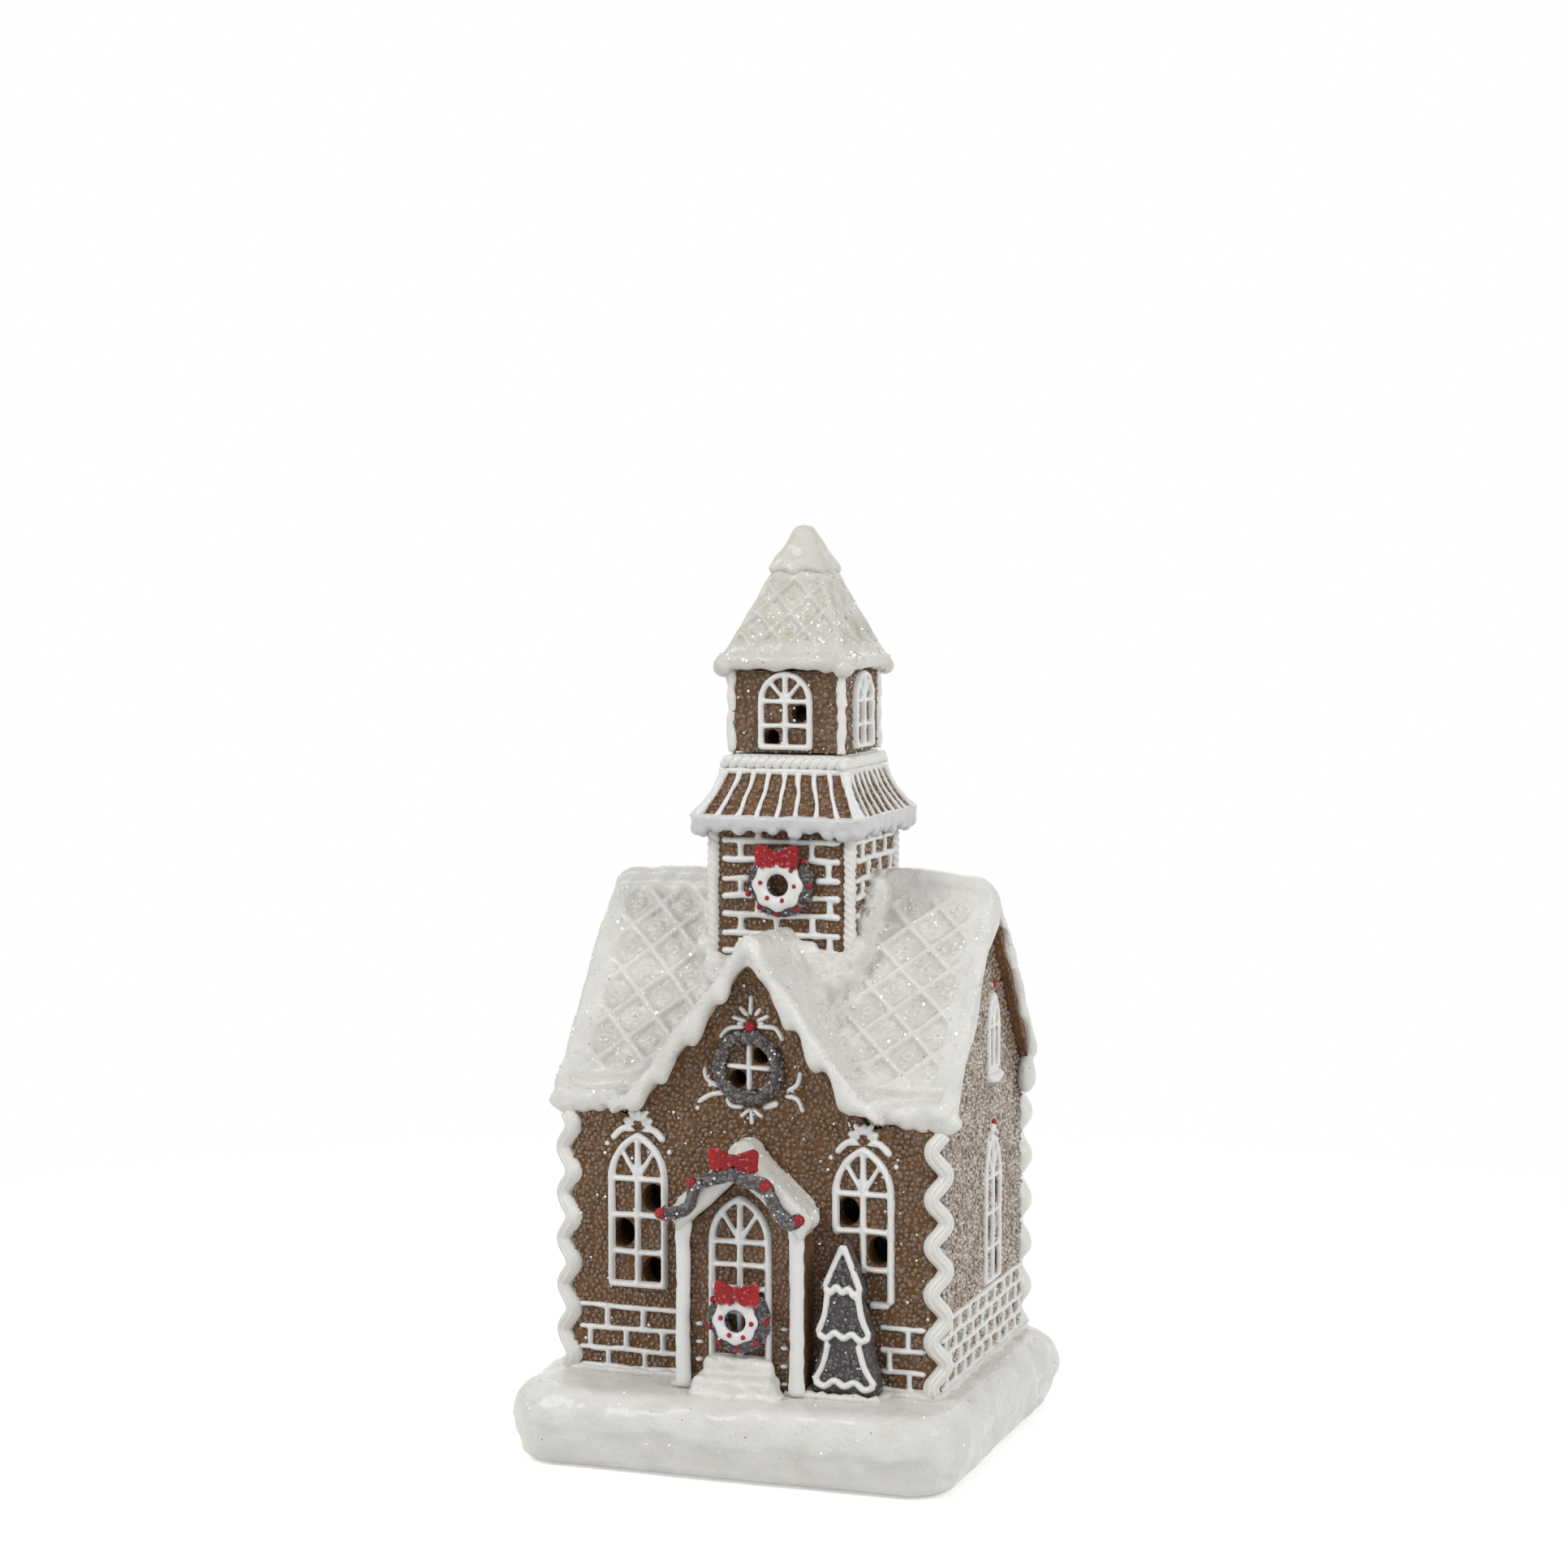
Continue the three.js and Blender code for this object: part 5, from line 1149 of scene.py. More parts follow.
# %% Porch snow
bm = bmesh.new()
PORCH_SLOPE = math.tan(math.radians(42))
PORCH_SNOW_X = 1.0
for side in (-1, 1):
    stops = [0, 4, 8, 12, 15.4]
    top = [(PORCH_SNOW_X + side * d, 0, 77.0 - PORCH_SLOPE * d) for d in stops]
    under = [(x - side * 0.2, y, z - 7.6) for x, y, z in reversed(top)]
    slab(bm, top + under, Vector((0, -49.4, 0)), Vector((0, -38.8, 0)))
    rings = []
    for i in range(21):
        d = 15.6 * i / 20
        half = 3.7 + 0.35 * math.sin(d / 2.3 + side) + 0.3 * wobble(d / 3, side, 0)
        rings.append((
            Vector((PORCH_SNOW_X + side * d, -49.0, 73.1 - PORCH_SLOPE * d)), Vector((side * 0.8, 2.3, 0)),
            Vector((0, 0, half))
        ))
    sweep(bm, closed_ends(rings), 16)
    eave = [Vector((PORCH_SNOW_X + side * (14.6 + 0.3 * math.sin(y)), y, 59.8)) for y in range(-49, -38)]
    rod(bm, eave, 2.6, 14, rough=0.15)
rod(
    bm, [Vector((PORCH_SNOW_X - 0.3, y, 74.0)) for y in range(-48, -38)],
    lambda t: 3.0 + 0.5 * min(1.0, 4 * t), 16,
    rough=0.06
)
bm = melt(bm, 0.42, 11)
press(bm, lambda co, normal: (0.3 * lumps(co, 4) + 0.2 * lumps(co, 9), 0.3 * max(0.0, lumps(co, 4))))
keep_sites(bm, lambda f: f.normal.z > 0.3)
piece("porch_snow", bm, snow, ["porch_roof"])

# %% Columns and steps
bm = bmesh.new()
for x in (-13.5, 14.5):
    path = [Vector((x + 0.25 * wobble(x, 0, i / 3), -47.1, BASE_Z + i)) for i in range(40)]
    rod(bm, path, lambda t: 1.7 + 0.35 * (1 - t) ** 6 + 0.4 * t**8, 14, 0.75, rough=0.12)
piece("porch_columns", bm, icing, ["porch_column_left", "porch_column_right"])

bm = bmesh.new()
for width, front, low, high in ((20.4, 53.8, 17.4, 23.4), (17.6, 49.6, 22.4, 27.4)):
    middle = Vector((0.7, -(front + 45.6) / 2, (low + high) / 2))
    size = Matrix.Diagonal((width, front - 45.6, high - low, 1))
    made = bmesh.ops.create_cube(bm, size=1, matrix=Matrix.Translation(middle) @ size)["verts"]
    edges = {e for v in made for e in v.link_edges}
    bmesh.ops.bevel(bm, geom=list(edges), offset=2.1, segments=4, profile=0.5, affect="EDGES", material=-1)
step_edge = [
    (-9.2, -46, 18.7), (-9.0, -53.0, 18.7), (0.7, -53.8, 18.6), (10.4, -53.0, 18.7), (10.6, -46, 18.7)
]
rod(bm, flow(step_edge, 1.2), 1.3, 10, rough=0.8)
bm = melt(bm, 0.4, 8)
press(bm, lambda co, normal: (0.45 * lumps(co, 2.6) + 0.6 * lumps(co, 6), 0.3 * max(0.0, lumps(co, 3))))
piece("snow_steps", bm, snow, ["door_steps"])

# %% [markdown]
# ## Window icing
# Every window is the same drawing at another size: a frame with a pointed arch, a centre bar, crossbars
# and two spokes in the arch, with leaves and dots above it. The right front window loses its lower left
# part, because the fir tree stands there.

# %% Window drawing
def arch_line(half, spring, rise, step=0.7):
    """The pointed arch from its left springing over the apex to its right one."""
    centre = (half * half - rise * rise) / (2 * half)
    radius = half - centre
    apex = math.acos(max(-1.0, -centre / radius))
    count = max(6, round(radius * apex / step))
    right = [
        Vector((centre + radius * math.cos(apex * i / count), spring + radius * math.sin(apex * i / count)))
        for i in range(count + 1)
    ]
    return [Vector((-p.x, p.y)) for p in right] + right[-2::-1]


def window(bm, face, half, sill, spring, rise, rows, width=1.8, cut=False, depth=1.75):
    """Pipes a window. With cut, its lower left part is missing."""
    inner = half - width / 2
    arch = arch_line(inner, spring, rise - width / 2)
    pitch = (spring - sill) / rows
    if cut:
        left = straight([(-inner, spring - 1.05 * pitch), (-inner, spring)], 0.8)
        right = straight([(inner, spring), (inner, sill + 0.5)], 0.8)
        pipe(bm, face, left[:-1] + arch + right[1:], width, depth)
        pipe(bm, face, straight([(1.2, sill + 0.4), (inner, sill + 0.5)], 0.8), width * 1.1, depth)
    else:
        foot = sill + width / 2
        corners = [(inner, spring), (inner, foot), (-inner, foot), (-inner, spring)]
        pipe(bm, face, arch + straight(corners, 0.8)[1:-1], width, depth, closed=True)
    low = spring - 1.95 * pitch if cut else sill + 0.6
    pipe(bm, face, straight([(0, low), (0, spring + rise - 1)], 0.8), width * 0.92, depth * 0.95)
    for row in range(rows):
        z = spring - row * pitch
        start = -inner if not cut or row < 2 else 0
        bend = 0.25 * wobble(row * 2.3, sill, half)
        bar = flow([(start, z + bend), ((start + inner) / 2, z - bend), (inner, z)], 0.8)
        pipe(bm, face, bar, width * 0.85, depth * 0.9)
        for u in {start, 0, inner}:
            ball(bm, face(u * 0.96, z, 0.1), width * 0.68, sides=8)
    for side in (-1, 1):
        reach = inner * 0.62
        spoke = straight([(0, spring + 0.2), (side * reach, spring + rise * 0.62)], 0.7)
        pipe(bm, face, spoke, width * 0.7, depth * 0.8)


def leaves(bm, face, z, scale=1.0):
    """Two drooping leaves, two small ones and a fan of three over a window, with a dot at each side."""
    def at(points):
        return flow([(u * scale, z + v * scale) for u, v in points], 0.5)
    for side in (-1, 1):
        pipe(
            bm, face, at([(side * 0.6, 0.2), (side * 3.8, 0.7), (side * 6.8, -2.1)]), 1.75 * scale, 1.4,
            taper=(1.6, 0.5)
        )
        pipe(
            bm, face, at([(side * 0.6, 1.6), (side * 2.3, 2.5), (side * 3.9, 2.9)]), 1.9 * scale, 1.4,
            taper=(1.2, 0.5)
        )
        pipe(
            bm, face, at([(side * 0.2, 2.5), (side * 1.3, 4.0), (side * 2.5, 5.2)]), 1.5 * scale, 1.3,
            taper=(1.2, 0.5)
        )
        ball(bm, face(side * 7.9 * scale, z - (3.1 if side < 0 else 4.4) * scale, 0.1), 0.75, sides=8)
    pipe(bm, face, at([(0.1, 2.3), (0.1, 3.8), (0.1, 5.3)]), 1.5 * scale, 1.4, taper=(1.0, 0.5))


front_face, back_face = wall(FRONT + 0.05), wall(BACK + 0.05, 2)
right_face, left_face = wall(SIDE + 0.05, 1), wall(SIDE + 0.05, 3)
FRONT_ACROSS, END_ACROSS = 28, 7
FRONT_WINDOW = dict(half=7.6, sill=39.2, spring=65.4, rise=11.2, rows=3)
SIDE_WINDOW = dict(half=6.8, sill=36.6, spring=62.4, rise=10.6, rows=3)
UPPER_WINDOW = dict(half=4.8, sill=88.5, spring=99.2, rise=8.4, rows=1)


def shifted(face, across):
    """A face with its middle moved across."""
    return lambda u, z, out=0.0: face(u + across, z, out)


# %% Windows of the house
for name, face, sizes, cut, leaf_scale in (
    ("window_front_left", shifted(front_face, -FRONT_ACROSS), FRONT_WINDOW, False, 1.0),
    ("window_front_right", shifted(front_face, FRONT_ACROSS), FRONT_WINDOW, True, 1.0),
    ("window_back", back_face, FRONT_WINDOW, False, 1.0),
    ("window_right_lower", shifted(right_face, END_ACROSS), SIDE_WINDOW, False, 0.5),
    ("window_left_lower", shifted(left_face, -END_ACROSS), SIDE_WINDOW, False, 0.5),
    ("window_right_upper", shifted(right_face, END_ACROSS), UPPER_WINDOW, False, 0.0),
    ("window_left_upper", shifted(left_face, -END_ACROSS), UPPER_WINDOW, False, 0.0),
):
    bm = bmesh.new()
    window(
        bm, face, **sizes, width=1.8 if sizes is FRONT_WINDOW else 1.3, cut=cut,
        depth=1.75 if sizes is FRONT_WINDOW else 1.15
    )
    top = sizes["spring"] + sizes["rise"]
    if leaf_scale:
        leaves(bm, face, top, leaf_scale)
    else:
        pipe(bm, face, flow([(-5.2, 87.2), (0, 86.6), (5.2, 87.2)], 0.7), 3.0, 2.4)
        for side in (-1, 1):
            pipe(
                bm, face, flow([(side * 0.3, top + 0.6), (side * 1.6, top + 2.4)], 0.5), 0.9, 0.8,
                taper=(1.0, 0.5)
            )
    piece(f"{name}_icing", melt(bm, 0.28, 3), icing, [name])

# %% [markdown]
# Light would shine straight through the house from the openings at the back, so those hold a thin dark
# film, sunk half way into the dough: painted shade that stands for the dark inside of the house. The ones in
# front stay open, as they are on the real one.

# %% Dark films of painted shade
def pane_holes(window, across, mirror=1):
    """The middles of a window's open panes."""
    pitch = (window["spring"] - window["sill"]) / window["rows"]
    side = mirror * window["half"] / 2
    return [
        (across + x, window["spring"] - pitch * (row + 0.5))
        for row, x in enumerate((side, -side, side)[: window["rows"]])
    ]


def end_holes(sign):
    """The middles of the open panes in one end wall. The sign is 1 for the right wall."""
    across = END_ACROSS * sign
    return pane_holes(SIDE_WINDOW, across) + pane_holes(UPPER_WINDOW, across)[:1]


BELFRY_WINDOW = dict(half=7.1, sill=166.1, spring=177.8, rise=5.6, rows=2)
bm = bmesh.new()
for face, holes, wide in (
    (wall(BACK - 2.5, 2), pane_holes(FRONT_WINDOW, 0, -1), 3.3),
    (wall(SIDE - 2.5, 3), end_holes(-1), 3.3),
    (wall(BELFRY - 1.4, 2, 0, TOWER_Y), pane_holes(BELFRY_WINDOW, 0), 2.5),
    (wall(BELFRY - 1.4, 3, 0, TOWER_Y), pane_holes(BELFRY_WINDOW, 0), 2.5),
):
    for u, z in holes:
        ring_points = [
            face(u + wide * math.cos(a), z + 1.2 * wide * math.sin(a))
            for a in (math.pi * i / 10 for i in range(20))
        ]
        slab(
            bm, [p - ring_points[0] for p in ring_points], ring_points[0],
            ring_points[0] + face(0, 0, 0.35) - face(0, 0, 0)
        )
piece("painted_shade_films", bm, shade_film, smooth=False)

# %% Windows of the belfry, its corner posts and the ropes on the tower's corners
names = ["front", "right", "back", "left"]
for turn, name in enumerate(names):
    bm = bmesh.new()
    window(bm, wall(BELFRY + 0.05, turn, 0, TOWER_Y), 6.9, 166.1, 177.8, 7.3, 2, width=1.55)
    piece(f"belfry_icing_{name}", melt(bm, 0.27, 3), icing, [f"belfry_window_{name}"])

bm = bmesh.new()
for sx, sy in ((1, 1), (-1, 1), (-1, -1), (1, -1)):
    path = [
        Vector((sx * 13.9 + 0.35 * wobble(sx, sy, i / 5), TOWER_Y + sy * 13.9, 165.4 + i * 0.9))
        for i in range(23)
    ]
    rod(bm, path, lambda t: 1.15, 10, rough=0.5)
piece("belfry_posts", bm, warm_icing)


def rope_post(bm, x, y, low, high, radius):
    """A round post with fine diagonal cuts, as a twisted rope has."""
    sides, rings = 28, round((high - low) / 0.45)

    def place(i, j):
        z = low + (high - low) * j / rings
        turn = 2 * math.pi * i / sides
        cut = 0.4 * (0.5 + 0.5 * math.sin(3 * turn + z * 3.6))
        size = 0.0 if j in (0, rings) else radius - cut + 0.35 * wobble(x, y, z / 4)
        return Vector((x + size * math.cos(turn), y + size * math.sin(turn), z))

    net(bm, sides, rings, place)


bm = bmesh.new()
for sx, sy in ((1, 1), (-1, 1), (-1, -1), (1, -1)):
    rope_post(bm, sx * 17.2, TOWER_Y + sy * 17.2, 108 if sy < 0 else 110, 149.0, 1.6)
piece("tower_ropes", bm, warm_icing)

# %% [markdown]
# ## Corner ribbons
# A wavy ribbon with lengthwise grooves stands on each corner of the house, at 45 degrees. It is one
# piped line with a grooved top, drawn on a face that is turned by half a quarter.

# %% Rickrack
for name, sx, y, turn, top, swing, start, width in (
    ("front_right", 1, -FRONT, 30, 80.6, 1.7, 23.6, 3.7),
    ("back_right", 1, BACK, 150, 80.2, 1.6, 21.0, 3.6),
    ("back_left", -1, BACK, 210, 80.2, 1.6, 20.0, 3.6),
    ("front_left", -1, -FRONT, 328, 80.6, 1.75, 19.3, 3.5),
):
    spin = Matrix.Rotation(math.radians(turn), 3, "Z")

    def corner_face(u, z, out=0.0, spin=spin, sx=sx, y=y):
        return spin @ Vector((u + sx * 0.5, 0.6 - out, 0)) + Vector((sx * SIDE, y, z))

    line = [
        Vector((swing * math.sin(2 * math.pi * (z - start) / 11.05), z))
        for z in [BASE_Z + (top - BASE_Z) * i / 120 for i in range(121)]
    ]
    bm = bmesh.new()
    pipe(bm, corner_face, line, width, 2.4, taper=(0.2, 0.2), sides=36, groove=0.3, uneven=0.06, sunk=1.9)
    piece(f"ribbon_{name}", bm, warm_icing, [f"corner_icing_{name}"])

# %% [markdown]
# ## Brick lines
# Low on the house and all over the tower, thin lines of icing draw bricks. Each row is one wavy line, and
# short upright lines divide it, set off by half a brick from row to row.

# %% Bricks
def bricks(bm, face, rows, start, end, pitch, width=1.45, depth=1.1, skip=lambda u, z: False, phase=0.0):
    """Mortar lines between heights, from one place along a wall to another."""
    for k, z in enumerate(rows):
        run = []
        for i in range(round((end - start) / 0.9) + 1):
            u = start + (end - start) * i / round((end - start) / 0.9)
            if skip(u, z):
                if len(run) > 3:
                    pipe(bm, face, run, width, depth, uneven=0.3)
                run = []
            else:
                run.append(Vector((u, z + 0.35 * wobble(u / 6, z, start))))
        if len(run) > 3:
            pipe(bm, face, run, width, depth, uneven=0.3)
        if k + 1 < len(rows):
            u = start + pitch * (0.5 if k % 2 else 1.0) + phase
            while u < end - 1.5:
                here = u + 0.6 * wobble(u, z, 5)
                if not skip(here, (z + rows[k + 1]) / 2):
                    joint = straight([(here, z), (here + 0.3 * wobble(z, u, 1), rows[k + 1])], 0.7)
                    pipe(bm, face, joint, width, depth, uneven=0.3)
                u += pitch


bm = bmesh.new()
bricks(bm, front_face, [34.3, 29.2, 24.0, 19.9], -43.5, -16.2, 9.3, phase=-1.6)
bricks(bm, front_face, [34.6, 29.4, 24.2, 20.0], 31.5, 43.5, 9.6, phase=-2.0)
bricks(
    bm, wall(PORCH_FACE + 0.05), [33.8, 29.6, 25.2, 21.0], -11.4, 12.4, 7.5, width=1.1,
    skip=lambda u, z: -8.4 < u < 9.4
)
piece("brick_lines_front", melt(bm, 0.28, 2), icing)
for name, face, reach in (
    ("right", right_face, (-36.6, 34.2)), ("left", left_face, (-34.2, 36.6)),
    ("back", back_face, (-43.5, 43.5))
):
    bm = bmesh.new()
    bricks(bm, face, [35.4, 31.5, 27.6, 23.7, 20.0], *reach, 7.6, width=1.3)
    piece(f"brick_lines_{name}", melt(bm, 0.3, 2), icing)

bm = bmesh.new()
for turn in range(4):
    face = wall(TOWER + 0.05, turn, 0, TOWER_Y)
    clear = (
        lambda u, z: math.hypot(u - 0.6, z - 134.6) < 7.4 or (abs(u - 0.5) < 5 and 136 < z < 143.5)
    ) if turn == 0 else (lambda u, z: False)
    bricks(
        bm, face, [148.6, 144.5, 140.0, 135.3, 131.1, 126.8, 122.1, 117.9, 113.6, 109.4], -15.4, 15.4, 9.0,
        width=1.7, skip=clear, phase=0.8
    )
piece("brick_lines_tower", melt(bm, 0.3, 2), icing)

# %% [markdown]
# ## Wreaths, bows and berries
# A wreath is a bumpy ring of dark sugar with a white ring of icing in front of it, eight petals round its
# edge like a flower, and red berries on both. Each carries a red bow: two puffed wings and a knot, melted
# into one.

# %% Rings and bows
def ring(bm, face, u, z, out, radius, thick, flat, petals=0, swell=0.0, bumps=0.0, sides=14, along=72):
    """A ring on a face, with bumps on it or petals round its edge."""
    def place(i, j):
        way = 2 * math.pi * (j % along) / along
        turn = 2 * math.pi * (i % sides) / sides
        size = thick * (1 + bumps * wobble(math.cos(way) * 3, math.sin(way) * 3, turn))
        reach = radius + size * math.cos(turn) * (
            1 + (swell * math.cos(petals * way) if math.cos(turn) > 0 else 0)
        )
        return face(u + reach * math.cos(way), z + reach * math.sin(way), out + size * flat * math.sin(turn))

    net(bm, sides, along, place)


def bow_shape(face, u, z, out, width, height):
    """A tied bow of icing, drawn 10.7 wide and 6.4 high and then sized."""
    bm = bmesh.new()
    a, b = width / 10.7, height / 6.4
    at = lambda x, y, o=0.0: face(u + x * a, z + y * b, out + o)
    for side in (-1, 1):
        for x, y, wide, high in (
            (2.9, 0.1, 2.3, 2.2), (4.1, 1.5, 1.35, 1.4), (3.9, -1.5, 1.35, 1.25), (1.6, -1.3, 1.3, 1.4),
            (1.4, 0.6, 1.1, 1.0)
        ):
            ball(bm, at(side * x, y), 1.0, (wide * a, 0.85, high * b), 14)
        rim = flow(
            [
                at(side * 0.9, 1.0, 0.6), at(side * 2.6, 1.9, 0.7), at(side * 4.5, 2.4, 0.4),
                at(side * 5.0, 0.4, 0.3), at(side * 4.5, -2.2, 0.2)
            ],
            0.5
        )
        rod(bm, rim, 0.5, 10, 0.9)
        fold = flow([at(side * 0.8, -0.2, 0.7), at(side * 2.4, 0.2, 0.75), at(side * 3.6, 0.5, 0.5)], 0.5)
        rod(bm, fold, 0.42, 10)
    ball(bm, at(0, 0.1, 0.45), 1.0, (1.05 * a, 0.95, 1.5 * b), 12)
    return melt(bm, 0.26, 3)


def berries(bm, face, places, out, radius=0.75):
    """Small balls at places on a face."""
    for u, z in places:
        ball(bm, face(u, z, out), radius, sides=8)


red_sites = []
grey_sites = []


def bead_bow(bm, count):
    """Keeps places on the front of a bow."""
    red_sites.extend(
        site(f) for f in chance.sample(bm.faces[:], min(len(bm.faces), count)) if f.normal.y < 0.2
    )


def bead_ring(face, u, z, out, radius, thick, rise, count, low, high):
    """Keeps places on the front of a ring of sugar."""
    for _ in range(count):
        a, w = chance.uniform(low, high), chance.uniform(0, 2 * math.pi)
        reach = radius + thick * math.cos(a)
        grey_sites.append(face(u + reach * math.cos(w), z + reach * math.sin(w), out + rise * math.sin(a)))


# %% Tower and door wreaths
for name, face, dark_at, white_at, sizes, berry_places, bow_at in (
    ("tower", wall(TOWER, 0, 0, TOWER_Y), (0.6, 134.7), (0.3, 134.3), (5.7, 2.3, 4.4, 1.75),
     (
         [(-3.7, 134.9), (-2.0, 131.3), (1.8, 130.8), (4.8, 134.3), (4.0, 138.0)],
         [(-7.4, 132.0), (-4.5, 128.9), (-0.2, 127.4), (4.9, 128.8), (8.0, 134.4), (6.3, 140.3)]
     ),
     (0.5, 141.2)),
    ("door", wall(PORCH_FACE + 1.4), (0.9, 36.0), (0.6, 36.0), (5.3, 2.2, 4.0, 1.4),
     (
         [(-2.6, 36.8), (-0.5, 32.9), (2.9, 32.6), (4.9, 35.9)],
         [(-6.0, 34.1), (-3.6, 30.5), (0.8, 29.3), (5.4, 31.1), (8.0, 36.2), (-5.2, 40.6)]
     ),
     (1.4, 42.7)),
):
    radius, thick, ring_radius, ring_thick = sizes
    bm = bmesh.new()
    ring(bm, face, *dark_at, 1.5, radius, thick, 0.75, bumps=0.35)
    bead_ring(face, *dark_at, 1.5, radius, thick, thick * 0.75, 260, -0.2, 3.3)
    piece(f"{name}_wreath_sugar", bm, dark_sugar, [f"{name}_wreath"])
    bm = bmesh.new()
    ring(bm, face, *white_at, 3.6, ring_radius, ring_thick, 0.7, petals=8, swell=0.16, along=96)
    piece(f"{name}_ring_icing", bm, icing, [f"{name}_wreath_icing"])
    bm = bmesh.new()
    berries(bm, face, berry_places[0], 4.6, 0.62)
    berries(bm, face, berry_places[1], 2.8, 0.78)
    piece(f"{name}_berries", bm, berry_red)
    bm = bow_shape(face, *bow_at, 4.6, 11.0, 6.6)
    bead_bow(bm, 46)
    piece(f"{name}_bow_icing", bm, red_icing, [f"{name}_bow"])

# %% [markdown]
# ## The round window of the gable
# A ring of dark sugar frames a white cross, with a crown of petals and a red berry above it and curled
# flourishes around it. The flourishes are drawn where they lie on the real wall.

# %% Rose window
ROSE_Z, ROSE_RADIUS, ROSE_THICK = 93.6, 7.2, 1.35
bm = bmesh.new()
ring(bm, front_face, 0, ROSE_Z, 0.9, ROSE_RADIUS, ROSE_THICK, 1.1, bumps=0.5)
bead_ring(front_face, 0, ROSE_Z, 0.9, ROSE_RADIUS, ROSE_THICK, 1.45, 240, 0, 3.14)
piece("rose_sugar", bm, dark_sugar, ["rose_wreath"])

bm = bmesh.new()
pipe(bm, front_face, flow([(0.1, 99.4), (0, ROSE_Z), (0.1, 87.8)], 0.7), 1.3, 1.4)
pipe(bm, front_face, flow([(-5.7, 93.8), (0, 93.5), (5.8, 93.4)], 0.7), 1.3, 1.4)
piece("rose_cross_icing", bm, icing, ["rose_cross"])

bm = bmesh.new()
for line, width in (
    ([(0.3, 105.6), (0.4, 110.6)], 1.1), ([(-0.2, 105.4), (-2.5, 107.8)], 1.1),
    ([(-0.5, 104.2), (-4.4, 105.3)], 1.1),
    ([(1.2, 105.5), (2.9, 107.6)], 1.1), ([(1.6, 104.3), (5.0, 105.9)], 1.1),
    ([(-0.9, 102.9), (-5.2, 102.4), (-7.4, 100.0)], 1.2), ([(1.6, 103.1), (6.4, 102.9), (8.3, 100.0)], 1.2),
    ([(-11.1, 93.4), (-10.6, 90.4), (-7.6, 88.6)], 1.2), ([(-13.1, 84.4), (-9.6, 86.6), (-6.0, 87.2)], 1.3),
    ([(-5.8, 86.2), (-4.3, 84.2), (-1.4, 84.3)], 1.3),
    ([(0.4, 84.0), (-2.3, 81.6)], 1.0), ([(0.5, 84.0), (0.6, 79.9)], 1.0), ([(0.7, 84.0), (3.3, 81.8)], 1.0),
    ([(3.1, 84.0), (7.2, 85.6)], 1.8), ([(8.6, 87.2), (11.8, 86.6), (13.3, 83.5)], 1.2),
    ([(9.0, 88.3), (11.8, 90.0), (12.6, 93.2)], 1.2),
    ([(-1.2, 103.8), (-3.2, 103.6)], 1.3), ([(1.8, 103.9), (3.9, 103.8)], 1.3),
):
    pipe(bm, front_face, flow(line, 0.5), width, 1.0, taper=(1.0, 0.5))
for u, z in ((-9.8, 88.9), (-13.0, 83.2), (10.6, 88.6)):
    ball(bm, front_face(u, z, 0.1), 0.6, sides=8)
piece("rose_flourishes", bm, icing)
bm = bmesh.new()
ball(bm, front_face(0.5, 103.1, 0.7), 1.35, sides=12)
for face in (shifted(right_face, END_ACROSS), shifted(left_face, -END_ACROSS)):
    ball(bm, face(0, 75.6, 0.5), 0.95, sides=8)
    ball(bm, face(0, 109.4, 0.5), 0.95, sides=8)
piece("wall_berries", bm, berry_red)

# %% [markdown]
# ## Door, garland and porch bow
# The door is piped like a window with four rows of panes, the lowest hidden by its wreath. A garland of
# dark sugar swags over the porch front from berry to berry, under a large bow.

# %% Door and garland
bm = bmesh.new()
window(bm, wall(PORCH_FACE + 0.05, 0, 0.2), 7.8, 21.0, 53.7, 11.0, 6, width=1.7)
piece("door_frame_icing", melt(bm, 0.28, 3), icing, ["door_icing"])

bm = bmesh.new()
garland_places = [
    (-16.4, 60.6), (-13.0, 60.9), (-10.2, 62.6), (-9.0, 66.2), (-7.4, 68.4), (-4.4, 69.3), (0.6, 70.8),
    (4.5, 69.3),
    (8.2, 68.3), (10.2, 65.6), (12.0, 62.3), (14.8, 60.2), (16.6, 61.2)
]
garland_line = flow([Vector((x, -52.0 + 0.35 * math.sin(x), z)) for x, z in garland_places], 0.6)
rod(bm, garland_line, lambda t: 1.55, 12, rough=0.45)
for point in garland_line[1:-1]:
    for _ in range(5):
        turn = chance.uniform(0, 2 * math.pi)
        grey_sites.append(point + Vector((math.cos(turn) * 0.4, -abs(math.sin(turn)), math.cos(turn))) * 1.5)
piece("garland_sugar", bm, dark_sugar, ["porch_garland"])

bm = bmesh.new()
for x, z in ((-16.9, 60.6), (-9.2, 68.3), (8.9, 68.6), (17.1, 61.2)):
    ball(bm, Vector((x, -53.0, z)), 1.35, sides=12)
piece("garland_berries", bm, berry_red)
bm = bow_shape(wall(50.9), 1.0, 74.0, 1.6, 12.4, 6.6)
bead_bow(bm, 26)
piece("porch_bow_icing", bm, red_icing, ["porch_bow"])

# %% [markdown]
# ## The fir tree
# A flat biscuit fir in three tiers leans before the right window. Its body is dough under dark sugar, and
# each tier has a white outline with three scallops at its foot.

